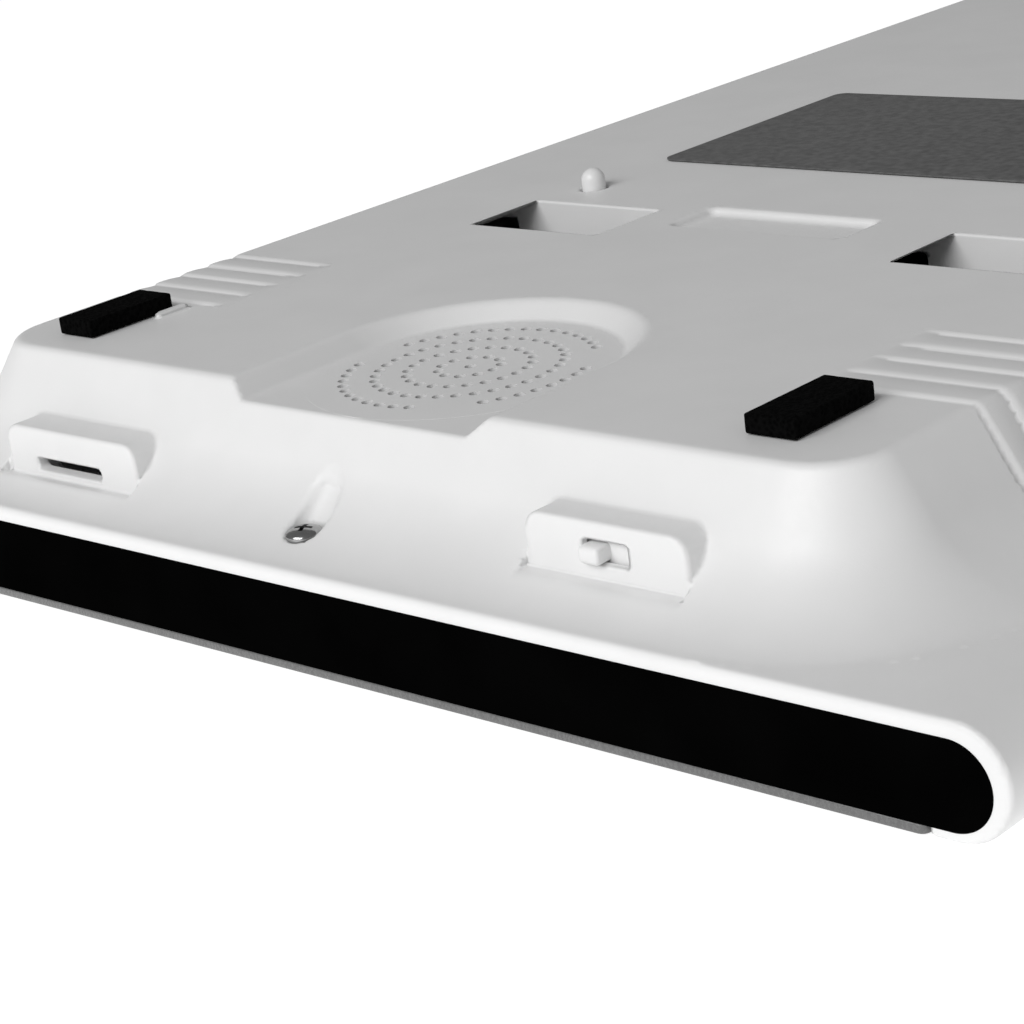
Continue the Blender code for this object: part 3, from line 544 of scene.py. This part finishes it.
def mesh_field(name, field, axes):
    """Mesh of a field's zero surface: normals taken from the field, flat parts in large faces."""
    grid = np.meshgrid(*axes, indexing="ij", sparse=True)
    values = np.broadcast_to(field(*grid), [len(axis) for axis in axes])
    inside = values < 0
    corner = [slice(None, -1), slice(1, None)]
    corners = [inside[a, b, c] for a in corner for b in corner for c in corner]
    tally = sum(shared.astype(np.int8) for shared in corners)
    active = (tally > 0) & (tally < 8)
    number = np.full(active.shape, -1, np.int64)
    cells = np.argwhere(active)
    number[active] = np.arange(len(cells))
    points = net_points(values, axes, cells)
    quads = net_quads(inside, number)
    for _ in range(PULL_PASSES):
        offset = np.clip(field(*points.T), -LONGEST_PULL, LONGEST_PULL)
        points -= gradient(field, points) * offset[:, None]
    mesh = thinned(name, points, quads, MOST_TRIANGLES)
    points = np.empty(len(mesh.vertices) * 3)
    mesh.vertices.foreach_get("co", points)
    normals = gradient(field, points.reshape(-1, 3))
    mesh.transform(Matrix.Translation((0.0, -LENGTH / 2 * MM, 0.0)) @ Matrix.Diagonal((MM, MM, MM, 1.0)))
    mesh.shade_smooth()
    mesh.normals_split_custom_set_from_vertices(normals.tolist())
    return mesh


def thinned(name, points, quads, most):
    """A mesh with its flattest parts collapsed into larger faces."""
    dense = bpy.data.meshes.new(name)
    dense.from_pydata(points.tolist(), [], quads.tolist())
    return evaluated(name, dense, ("DECIMATE", {"ratio": min(1.0, most / (2 * len(quads)))}))


# ---------------------------------------------------------------- helpers for pieces


def to_row(x, y, z):
    """A point in the frame, in metres, from millimetres with y from the bottom end."""
    return Vector((x, y - LENGTH / 2, z)) * MM


def piece(name, mesh, finish, body="panel", replaces=None):
    """Puts a mesh in the scene as a piece that rides on a body."""
    made = bpy.data.objects.new(name, mesh)
    bpy.context.scene.collection.objects.link(made)
    if not mesh.materials:
        mesh.materials.append(finish)
    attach(made, body)
    if replaces:
        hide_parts(*replaces)
    return made


def evaluated(name, data, *modifiers):
    """The mesh that a curve, a text or a mesh with (type, settings) modifiers comes to."""
    holder = bpy.data.objects.new(name, data)
    bpy.context.scene.collection.objects.link(holder)
    for kind, settings in modifiers:
        modifier = holder.modifiers.new(kind.lower(), kind)
        for setting, value in settings.items():
            setattr(modifier, setting, value)
    mesh = bpy.data.meshes.new_from_object(holder.evaluated_get(bpy.context.evaluated_depsgraph_get()))
    bpy.data.objects.remove(holder, do_unlink=True)
    return mesh


def smooth(mesh, angle):
    mesh.shade_smooth()
    mesh.set_sharp_from_angle(angle=math.radians(angle))
    return mesh


def finished(bm, name, angle=35.0):
    bmesh.ops.recalc_face_normals(bm, faces=bm.faces)
    mesh = bpy.data.meshes.new(name)
    bm.to_mesh(mesh)
    bm.free()
    return smooth(mesh, angle)


def arc(centre, radius, start, end, steps):
    angles = [math.radians(start + (end - start) * i / steps) for i in range(steps + 1)]
    return [(centre[0] + radius * math.cos(a), centre[1] + radius * math.sin(a)) for a in angles]


def circle(centre, radius, sides):
    return arc(centre, radius, 0, 360 - 360 / sides, sides - 1)


def rounded(u, v, radius, steps):
    """Outline of a rectangle with round corners, anticlockwise."""
    corners = ((u[1] - radius, v[1] - radius), (u[0] + radius, v[1] - radius),
               (u[0] + radius, v[0] + radius), (u[1] - radius, v[0] + radius))
    points = []
    for quarter, corner in enumerate(corners):
        points += arc(corner, radius, 90 * quarter, 90 * quarter + 90, steps)
    return points


def outlines(name, loops, thickness, edge=0.0, segments=2):
    """Closed outlines filled as one sheet about z = 0, holes included, with edges rounded inwards by edge."""
    curve = bpy.data.curves.new(name, "CURVE")
    curve.dimensions = "2D"
    curve.fill_mode = "BOTH"
    curve.extrude = (thickness / 2 - edge) * MM
    curve.bevel_depth = edge * MM
    curve.bevel_resolution = segments
    curve.offset = -edge * MM
    for loop in loops:
        line = curve.splines.new("POLY")
        line.points.add(len(loop) - 1)
        for point, (u, v) in zip(line.points, loop):
            point.co = (u * MM, v * MM, 0.0, 1.0)
        line.use_cyclic_u = True
    bm = bmesh.new()
    bm.from_mesh(evaluated(name, curve))
    bmesh.ops.remove_doubles(bm, verts=bm.verts, dist=SAME_POINT)
    return finished(bm, name, 30.0)


def turned(name, profile):
    """A solid turned about Z from its (radius, z) profile, which runs from axis to axis down its outside."""
    bm = bmesh.new()
    verts = [bm.verts.new((radius * MM, 0.0, z * MM)) for radius, z in profile]
    edges = [bm.edges.new(pair) for pair in zip(verts, verts[1:])]
    bmesh.ops.spin(bm, geom=verts + edges, axis=(0, 0, 1), steps=TURN_STEPS, angle=2 * math.pi)
    bmesh.ops.remove_doubles(bm, verts=bm.verts, dist=SAME_POINT)
    return finished(bm, name, 30.0)


def block(name, x, y, z, bevel, segments):
    """A block with rounded edges, placed in the frame."""
    sizes = [high - low for low, high in (x, y, z)]
    bm = bmesh.new()
    centre = to_row(sum(x) / 2, sum(y) / 2, sum(z) / 2)
    matrix = Matrix.Translation(centre) @ Matrix.Diagonal([size * MM for size in sizes] + [1.0])
    bmesh.ops.create_cube(bm, size=1.0, matrix=matrix)
    bmesh.ops.bevel(bm, geom=bm.edges[:], offset=bevel * MM, segments=segments, profile=0.5, affect="EDGES")
    return finished(bm, name, 50.0)


def joined(name, *meshes):
    bm = bmesh.new()
    for mesh in meshes:
        bm.from_mesh(mesh)
    return finished(bm, name)


# ---------------------------------------------------------------- materials


class Finish:
    """A material being built: a Principled shader and the nodes that feed it."""

    def __init__(self, name, metallic=0.0, specular=0.5):
        self.made = bpy.data.materials.new(name)
        self.made.use_nodes = True
        self.nodes = self.made.node_tree.nodes
        self.links = self.made.node_tree.links
        self.shader = self.nodes["Principled BSDF"]
        self.shader.inputs["Metallic"].default_value = metallic
        self.shader.inputs["Specular IOR Level"].default_value = specular
        self.place = self.nodes.new("ShaderNodeTexCoord").outputs["Object"]

    def noise(self, cell, detail=2.0, rough=0.5):
        """Noise whose features are about cell millimetres across."""
        node = self.nodes.new("ShaderNodeTexNoise")
        node.inputs["Scale"].default_value = 1.0 / (cell * MM)
        node.inputs["Detail"].default_value = detail
        node.inputs["Roughness"].default_value = rough
        self.links.new(self.place, node.inputs["Vector"])
        return node.outputs["Fac"]

    def cells(self, cell):
        """Cells about cell millimetres across."""
        node = self.nodes.new("ShaderNodeTexVoronoi")
        node.inputs["Scale"].default_value = 1.0 / (cell * MM)
        self.links.new(self.place, node.inputs["Vector"])
        return node.outputs["Distance"]

    def span(self, value, low, high):
        """A value's middle range, spread from low to high."""
        node = self.nodes.new("ShaderNodeMapRange")
        for socket, number in (("From Min", 0.3), ("From Max", 0.7), ("To Min", low), ("To Max", high)):
            node.inputs[socket].default_value = number
        self.links.new(value, node.inputs["Value"])
        return node.outputs["Result"]

    def ramp(self, value, stops):
        node = self.nodes.new("ShaderNodeValToRGB")
        while len(node.color_ramp.elements) < len(stops):
            node.color_ramp.elements.new(0.5)
        for element, (position, colour) in zip(node.color_ramp.elements, stops):
            element.position = position
            element.color = (*colour, 1.0)
        self.links.new(value, node.inputs["Fac"])
        return node.outputs["Color"]

    def colour(self, value, low, high, start=0.3, end=0.7):
        """Colour that varies between two with a value."""
        self.links.new(self.ramp(value, ((start, low), (end, high))), self.shader.inputs["Base Color"])

    def roughness(self, value, low, high):
        self.links.new(self.span(value, low, high), self.shader.inputs["Roughness"])

    def bump(self, *layers):
        """Surface relief from (value, height in millimetres) layers."""
        normal = None
        for value, height in layers:
            node = self.nodes.new("ShaderNodeBump")
            node.inputs["Strength"].default_value = 1.0
            node.inputs["Distance"].default_value = height * MM
            self.links.new(value, node.inputs["Height"])
            if normal:
                self.links.new(normal, node.inputs["Normal"])
            normal = node.outputs["Normal"]
        self.links.new(normal, self.shader.inputs["Normal"])


def grey(level):
    return (level, level, level)


def plastic(name, low, high, rough, grain, relief, specular=0.5):
    """Moulded plastic: slight mottling, uneven gloss and a fine spark-eroded grain."""
    finish = Finish(name, specular=specular)
    finish.colour(finish.noise(7.0), low, high)
    finish.roughness(finish.noise(grain * 3.0), rough - 0.05, rough + 0.07)
    finish.bump((finish.noise(grain, 3.0, 0.6), relief), (finish.noise(9.0), relief * 2.0))
    return finish.made


def foam(name):
    finish = Finish(name, specular=0.02)
    pores = finish.cells(0.34)
    finish.colour(pores, grey(0.0004), grey(0.0035), 0.05, 0.75)
    finish.roughness(finish.noise(0.5), 0.85, 1.0)
    finish.bump((pores, 0.16), (finish.noise(1.4), 0.15))
    return finish.made


def metal(name, low, high, rough, streaks):
    finish = Finish(name, metallic=1.0)
    finish.colour(finish.noise(2.0), low, high)
    finish.roughness(finish.noise(streaks), rough - 0.06, rough + 0.08)
    finish.bump((finish.noise(streaks, 3.0), 0.01))
    return finish.made


def film(name, low, high, rough, cell=1.2):
    finish = Finish(name)
    finish.colour(finish.noise(cell, 4.0), low, high)
    finish.roughness(finish.noise(cell / 2), rough - 0.06, rough + 0.1)
    finish.bump((finish.noise(cell), 0.01))
    return finish.made


def cone_paper(name):
    finish = Finish(name, specular=0.2)
    fibres = finish.noise(0.25, 5.0, 0.7)
    finish.colour(fibres, grey(0.012), grey(0.03))
    finish.roughness(finish.noise(0.6), 0.8, 0.95)
    finish.bump((fibres, 0.05))
    return finish.made


WHITE = plastic("white_abs", grey(0.79), grey(0.815), 0.46, 0.16, 0.006)
WHITE_SMOOTH = plastic("white_abs_smooth", grey(0.80), grey(0.825), 0.38, 0.3, 0.003)
BLACK = plastic("black_satin", grey(0.0009), grey(0.0015), 0.4, 0.2, 0.002, specular=0.0)
DARK = plastic("dark_abs", grey(0.02), grey(0.03), 0.55, 0.2, 0.008)
EDGE = film("acrylic_edge", grey(0.12), grey(0.15), 0.25, 0.6)
GLASS = film("acrylic_front", grey(0.006), grey(0.008), 0.12, 6.0)
SCREEN = film("display_glass", grey(0.012), grey(0.016), 0.1, 6.0)
PRINT = film("legend_print", grey(0.62), grey(0.68), 0.4, 0.8)
FOAM = foam("black_foam")
STEEL = metal("screw_steel", grey(0.34), grey(0.5), 0.16, 0.5)
TIN = metal("tinned_steel", grey(0.5), grey(0.62), 0.32, 0.8)
# Near-black boards: they are real parts, but their near-black tone is painted shade for the room seen through
# the hook slots.
BOARD_PAINTED_SHADE = film("board_black", (0.010, 0.011, 0.013), (0.016, 0.017, 0.02), 0.4, 0.8)
FLEX = film("flex_amber", (0.30, 0.12, 0.02), (0.38, 0.17, 0.03), 0.35)
CHIP = film("chip_black", grey(0.014), grey(0.02), 0.5, 0.5)
CONE = cone_paper("speaker_paper")
BATTERY = film("battery_foil", (0.36, 0.37, 0.39), (0.46, 0.47, 0.49), 0.3, 3.0)
WIRE = film("wire_red", (0.38, 0.012, 0.012), (0.46, 0.02, 0.018), 0.45, 1.0)
LABEL = film("label_film", grey(0.075), grey(0.14), 0.45, 0.7)

CARRIED = {
    BATTERY: ("battery_pack",),
    # the boards carry the painted shade seen through the hook slots
    BOARD_PAINTED_SHADE: ("touch_board", "main_board"),
    CHIP: ("controller_chip", "tamper_switch", "antenna_lead"),
    CONE: ("speaker_cone",),
    DARK: ("front_frame", "speaker_frame"),
    FLEX: ("display_flex", "touch_flex", "antenna_strip"),
    FOAM: ("speaker_gasket",),
    SCREEN: ("display_module",),
    STEEL: ("tamper_spring", *(name for name in NODES if name.startswith(("board_screw", "frame_screw")))),
    TIN: ("wifi_shield", "radio_shield", "usb_socket", "power_switch_body"),
    WHITE_SMOOTH: ("battery_plug",),
    WIRE: ("speaker_lead", "battery_lead"),
}


def dress_carried_nodes():
    """Materials for the CAD nodes that show as they are."""
    for finish, names in CARRIED.items():
        for name in names:
            NODES[name].data.materials.clear()
            NODES[name].data.materials.append(finish)


# ---------------------------------------------------------------- pieces


def rear_shell():
    side = WIDTH / 2 + GRID_MARGIN
    across = grid_lines((-side, side, STEP_ACROSS))
    along = grid_lines(
        (-GRID_MARGIN, FINE_END, STEP_AT_END),
        (FINE_END, FEATURES_END, STEP_ALONG),
        (FEATURES_END, FAR_END, STEP_COARSE),
        (FAR_END, LENGTH + GRID_MARGIN, STEP_ALONG),
    )
    up = grid_lines((-GRID_BELOW, BACK + GRID_ABOVE, STEP_UP))
    mesh = mesh_field("rear_shell_moulding", shell_field, (across, along, up))
    piece("rear_shell_moulding", mesh, WHITE, replaces=["rear_shell"])


def grille_centres():
    centres = [(0.0, 0.0)]
    for ring in range(1, GRILLE_RINGS + 1):
        count = GRILLE_PER_RING * ring
        for i in range(count):
            bearing = 360.0 * i / count
            apart = min(abs((bearing - blank + 180) % 360 - 180) for blank in GRILLE_GAPS)
            if ring == GRILLE_RINGS and apart < GRILLE_GAP_HALF:
                continue
            angle = math.radians(bearing)
            centres.append((GRILLE_PITCH * ring * math.cos(angle), GRILLE_PITCH * ring * math.sin(angle)))
    return centres


def speaker_grille():
    """The recess's floor over the speaker, with its small round holes."""
    loops = [circle((0.0, 0.0), GRILLE_DISC, 120)]
    loops += [circle(centre, GRILLE_HOLE, 24) for centre in grille_centres()]
    mesh = outlines("speaker_grille", loops, GRILLE_THICK)
    top = BACK - RECESS_DEPTH + GRILLE_LIFT
    mesh.transform(Matrix.Translation(to_row(0.0, RECESS_CENTRE, top - GRILLE_THICK / 2)))
    piece("speaker_grille", mesh, WHITE)


def end_cap(node):
    """Black closing strip with a soft edge."""
    (_, half), (start, _), heights = limits(node)
    radius = (heights[1] - heights[0]) / 2
    level = sum(heights) / 2
    side = half - radius
    outline = arc((side, level), radius, -90, 90, 40) + arc((-side, level), radius, 90, 270, 40)
    mesh = outlines(node + "_strip", [outline], STRIP_THICK, STRIP_EDGE)
    place = STRIP_THICK / 2 if start < LENGTH / 2 else LENGTH - STRIP_THICK / 2
    mesh.transform(Matrix.Translation(to_row(0.0, place, 0.0)) @ Matrix.Rotation(math.pi / 2, 4, "X"))
    piece(node + "_strip", mesh, BLACK, replaces=[node])


def front_plate():
    """Acrylic front: black behind its face, grey where its cut edge shows."""
    thick = limits("front_plate")[2][1] - PLATE_LIFT
    loop = rounded((-PLATE_HALF_WIDTH, PLATE_HALF_WIDTH), (-LENGTH / 2, LENGTH / 2), PLATE_CORNER, 4)
    mesh = outlines("front_acrylic", [loop], thick, PLATE_EDGE)
    mesh.transform(Matrix.Translation((0.0, 0.0, (PLATE_LIFT + thick / 2) * MM)))
    mesh.materials.append(GLASS)
    mesh.materials.append(EDGE)
    for face in mesh.polygons:
        face.material_index = 0 if abs(face.normal.z) > 0.9 else 1
    piece("front_acrylic", mesh, GLASS, replaces=["front_plate"])


def digit(text, x, y):
    """A digit that reads from the front, below the panel as it lies."""
    letter = bpy.data.curves.new("digit", "FONT")
    letter.body = text
    letter.size = DIGIT_HEIGHT * MM
    letter.align_x = "CENTER"
    letter.align_y = "CENTER"
    letter.extrude = PRINT_THICK / 2 * MM
    mesh = evaluated("digit", letter)
    mesh.transform(Matrix.Translation(to_row(x, y, 0.0)) @ Matrix.Rotation(math.pi, 4, "Y"))
    return mesh


def legends():
    """Generic digits and key rings printed on the front, and the display's dark window."""
    meshes = []
    first_row = limits("touch_board")[1][1] - KEY_FIRST_ROW
    for number, sign in enumerate(KEY_SIGNS):
        column, row = number % 3, number // 3
        x = -(column - 1) * KEY_COLUMN
        y = first_row - row * KEY_ROW
        v = y - LENGTH / 2
        meshes.append(outlines("ring", [circle((x, v), radius, 72) for radius in KEY_RING], PRINT_THICK))
        if sign == "-":
            bar = rounded((x - BAR_HALF, x + BAR_HALF), (v - BAR_THICK / 2, v + BAR_THICK / 2), 0.3, 3)
            meshes.append(outlines("bar", [bar], PRINT_THICK))
        else:
            meshes.append(digit(sign, x, y))
    mesh = joined("key_legends", *meshes)
    mesh.transform(Matrix.Translation((0.0, 0.0, PRINT_LEVEL * MM)))
    piece("key_legends", mesh, PRINT)
    x, y, _ = limits("display_module")
    start, end = y[0] + WINDOW_INSET - LENGTH / 2, y[1] - WINDOW_INSET - LENGTH / 2
    frame_line = rounded((x[0] + WINDOW_INSET, x[1] - WINDOW_INSET), (start, end), WINDOW_CORNER, 4)
    window = outlines("display_window", [frame_line], PRINT_THICK)
    window.transform(Matrix.Translation((0.0, 0.0, PRINT_LEVEL * MM)))
    piece("display_window", window, SCREEN)


def foam_pad(node):
    """Die-cut foam pad: soft edges, and faces that aren't quite flat."""
    x, y, z = limits(node)
    bm = bmesh.new()
    centre = to_row(sum(x) / 2, sum(y) / 2, sum(z) / 2)
    sizes = [(high - low) * MM for low, high in (x, y, z)]
    bmesh.ops.create_cube(bm, size=1.0, matrix=Matrix.Translation(centre) @ Matrix.Diagonal(sizes + [1.0]))
    bmesh.ops.bevel(bm, geom=bm.edges[:], offset=0.16 * MM, segments=3, profile=0.5, affect="EDGES")
    long_edges = [e for e in bm.edges if e.calc_length() > 1.0 * MM]
    bmesh.ops.subdivide_edges(bm, edges=long_edges, cuts=15, use_grid_fill=True)
    for vert in bm.verts:
        offset = vert.co - centre
        fine = noise.noise_vector(vert.co / (0.9 * MM)) * 0.05
        wander = fine + noise.noise_vector(vert.co / (3.0 * MM)) * 0.06
        inwards = Vector([-wander[n] ** 2 * math.copysign(6.0, offset[n]) for n in range(3)])
        vert.co += inwards * MM
    mesh = finished(bm, node + "_foam", 60.0)
    pad = piece(node + "_foam", mesh, FOAM, replaces=[node])


def cross_cutter(half_x, half_y, top):
    """One arm of the cross recess, narrower at its foot."""
    bm = bmesh.new()
    sizes = Matrix.Diagonal((2 * half_x * MM, 2 * half_y * MM, CROSS_HEIGHT * MM, 1.0))
    bmesh.ops.create_cube(bm, size=1.0, matrix=Matrix.Translation((0, 0, (top + 0.1) * MM)) @ sizes)
    for vert in bm.verts:
        if vert.co.z < top * MM:
            vert.co.x *= CROSS_LONG_TAPER if half_x > half_y else CROSS_SHORT_TAPER
            vert.co.y *= CROSS_LONG_TAPER if half_y > half_x else CROSS_SHORT_TAPER
    mesh = bpy.data.meshes.new("cutter")
    bm.to_mesh(mesh)
    bm.free()
    cutter = bpy.data.objects.new("cutter", mesh)
    bpy.context.scene.collection.objects.link(cutter)
    return cutter


def cross_screw(node):
    """Cross-head screw: domed head, tapered cross recess, threaded shank."""
    x, y, z = limits(node)
    top = z[1] + HEAD_LIFT
    profile = [(0.0, top)]
    for degrees in (20, 35, 50, 65, 80, 90):
        angle = math.radians(degrees)
        profile.append((HEAD_RADIUS * math.sin(angle), top - HEAD_DOME * (1 - math.cos(angle))))
    profile += [(HEAD_RADIUS, top - HEAD_THICK), (SHANK_RADIUS, top - HEAD_THICK - 0.05)]
    for turn in range(THREAD_TURNS):
        level = top - THREAD_START - turn * THREAD_PITCH
        profile += [(SHANK_RADIUS, level), (THREAD_RADIUS, level - 0.2)]
    profile += [(0.3, z[0] + 0.1), (0.0, z[0])]
    cutters = [cross_cutter(*arm, top) for arm in CROSS_ARMS]
    difference = {"operation": "DIFFERENCE", "solver": "EXACT"}
    cuts = [("BOOLEAN", {**difference, "object": cutter}) for cutter in cutters]
    mesh = evaluated("screw_body", turned(node + "_turned", profile), *cuts)
    for cutter in cutters:
        bpy.data.objects.remove(cutter, do_unlink=True)
    turn = Matrix.Rotation(math.radians(CROSS_TURN), 4, "Z")
    mesh.transform(Matrix.Translation(to_row(sum(x) / 2, sum(y) / 2, 0.0)) @ turn)
    piece(node + "_steel", smooth(mesh, 30.0), STEEL, replaces=[node])


def switch_knob():
    """Slide switch's knob, the cover plate behind it that closes the opening, and its stem."""
    x, y, z = limits("power_switch_knob")
    low, high = SWITCH_OPENING[1]
    centre = sum(x) / 2
    knob_x = (centre - KNOB_WIDTH / 2, centre + KNOB_WIDTH / 2)
    stem_x = (centre - STEM_WIDTH / 2, centre + STEM_WIDTH / 2)
    knob = block("knob", knob_x, (y[0], KNOB_ROOT), (low + KNOB_FOOT_GAP, high - KNOB_TOP_GAP), KNOB_EDGE, 5)
    cover = block("cover", (x[0] - COVER_LONGER, x[1]), COVER_Y, z, 0.08, 2)
    stem = block("stem", stem_x, (KNOB_ROOT, y[1]), STEM_Z, 0.05, 2)
    mesh = joined("switch_knob_moulding", knob, cover, stem)
    piece("switch_knob_moulding", mesh, WHITE_SMOOTH, "switch_knob", ["power_switch_knob"])


def plunger():
    """Tamper plunger: domed stud on a collar and a pin."""
    x, y, z = limits("tamper_plunger")
    profile = []
    for degrees in range(0, 91, 9):
        angle = math.radians(degrees)
        profile.append((PLUNGER_RADIUS * math.sin(angle), z[1] - PLUNGER_RADIUS * (1 - math.cos(angle))))
    collar = z[0] + COLLAR_TOP
    profile += [(PLUNGER_RADIUS, collar), (COLLAR_RADIUS, collar)]
    profile += [(COLLAR_RADIUS, collar - COLLAR_THICK), (PIN_RADIUS, collar - COLLAR_THICK)]
    profile += [(PIN_RADIUS, z[0]), (0.0, z[0])]
    mesh = turned("plunger_moulding", profile)
    mesh.transform(Matrix.Translation(to_row(sum(x) / 2, sum(y) / 2, 0.0)))
    piece("plunger_moulding", mesh, WHITE_SMOOTH, "plunger", ["tamper_plunger"])


def back_label():
    """Plain label without print."""
    x, y, z = limits("rating_label")
    loop = rounded(x, (y[0] - LENGTH / 2, y[1] - LENGTH / 2), 1.2, 6)
    mesh = outlines("back_label", [loop], z[1] - z[0], 0.03, 1)
    mesh.transform(Matrix.Translation((0.0, 0.0, sum(z) / 2 * MM)))
    piece("back_label", mesh, LABEL, replaces=["rating_label"])


# ---------------------------------------------------------------- stage

AZIMUTH = 45.4  # of the camera, from the bottom end towards the right side
ELEVATION = 19.1
ROLL = -7.76
DISTANCE = 186.1
AIM = (14.6, 11.3, 10.0)
LENS = 94.4
WORLD_STRENGTH = 0.22
FLOOR_GLOW = 0.76
LIGHTS = (  # name, place and size in metres, watts
    ("front_box", (0.0, -1.1, 0.78), (1.0, 0.7), 12.2),
    ("side_fill", (1.2, -0.1, 0.2), (0.8, 0.3), 0.6),
)


def camera():
    az, el, roll = (math.radians(angle) for angle in (AZIMUTH, ELEVATION, ROLL))
    ahead = Vector((-math.sin(az) * math.cos(el), math.cos(az) * math.cos(el), -math.sin(el)))
    right = Vector((math.cos(az), math.sin(az), 0.0))
    up = right.cross(ahead)
    rolled_right = math.cos(roll) * right + math.sin(roll) * up
    rolled_up = -math.sin(roll) * right + math.cos(roll) * up
    data = bpy.data.cameras.new("camera")
    data.lens = LENS
    data.sensor_width = 36.0
    data.clip_start = 0.01
    made = bpy.data.objects.new("camera", data)
    bpy.context.scene.collection.objects.link(made)
    turn = Matrix((rolled_right, rolled_up, -ahead)).transposed().to_4x4()
    made.matrix_world = Matrix.Translation(to_row(*AIM) - ahead * DISTANCE * MM) @ turn
    bpy.context.scene.camera = made


def floor():
    """A large pale sheet, lit from within a little so that it stays even."""
    bm = bmesh.new()
    bmesh.ops.create_grid(bm, x_segments=1, y_segments=1, size=6.0)
    mesh = bpy.data.meshes.new("floor")
    bm.to_mesh(mesh)
    bm.free()
    finish = Finish("floor_white")
    finish.colour(finish.noise(40.0), grey(0.50), grey(0.52))
    finish.roughness(finish.noise(20.0), 0.85, 0.95)
    finish.shader.inputs["Emission Color"].default_value = (1.0, 1.0, 1.0, 1.0)
    finish.shader.inputs["Emission Strength"].default_value = FLOOR_GLOW
    mesh.materials.append(finish.made)
    made = bpy.data.objects.new("floor", mesh)
    bpy.context.scene.collection.objects.link(made)


def area_light(name, place, size, power):
    """A rectangular light that faces the panel's middle."""
    data = bpy.data.lights.new(name, "AREA")
    data.shape = "RECTANGLE"
    data.size, data.size_y = size
    data.energy = power
    made = bpy.data.objects.new(name, data)
    bpy.context.scene.collection.objects.link(made)
    made.location = place
    made.rotation_euler = (-Vector(place)).to_track_quat("-Z", "Y").to_euler()


def lights():
    world = bpy.data.worlds.new("studio")
    world.use_nodes = True
    background = world.node_tree.nodes["Background"]
    background.inputs["Color"].default_value = (1.0, 1.0, 1.0, 1.0)
    background.inputs["Strength"].default_value = WORLD_STRENGTH
    bpy.context.scene.world = world
    for settings in LIGHTS:
        area_light(*settings)


def main():
    dress_carried_nodes()
    rear_shell()
    speaker_grille()
    for node in ("end_cap_bottom", "end_cap_top"):
        end_cap(node)
    front_plate()
    legends()
    for node in ("foot_pad_bottom_left", "foot_pad_bottom_right", "foot_pad_top_left", "foot_pad_top_right"):
        foam_pad(node)
    for node in ("cover_screw_bottom", "cover_screw_top"):
        cross_screw(node)
    switch_knob()
    plunger()
    back_label()
    floor()
    lights()
    camera()
    bpy.context.scene.view_settings.view_transform = "Standard"


main()
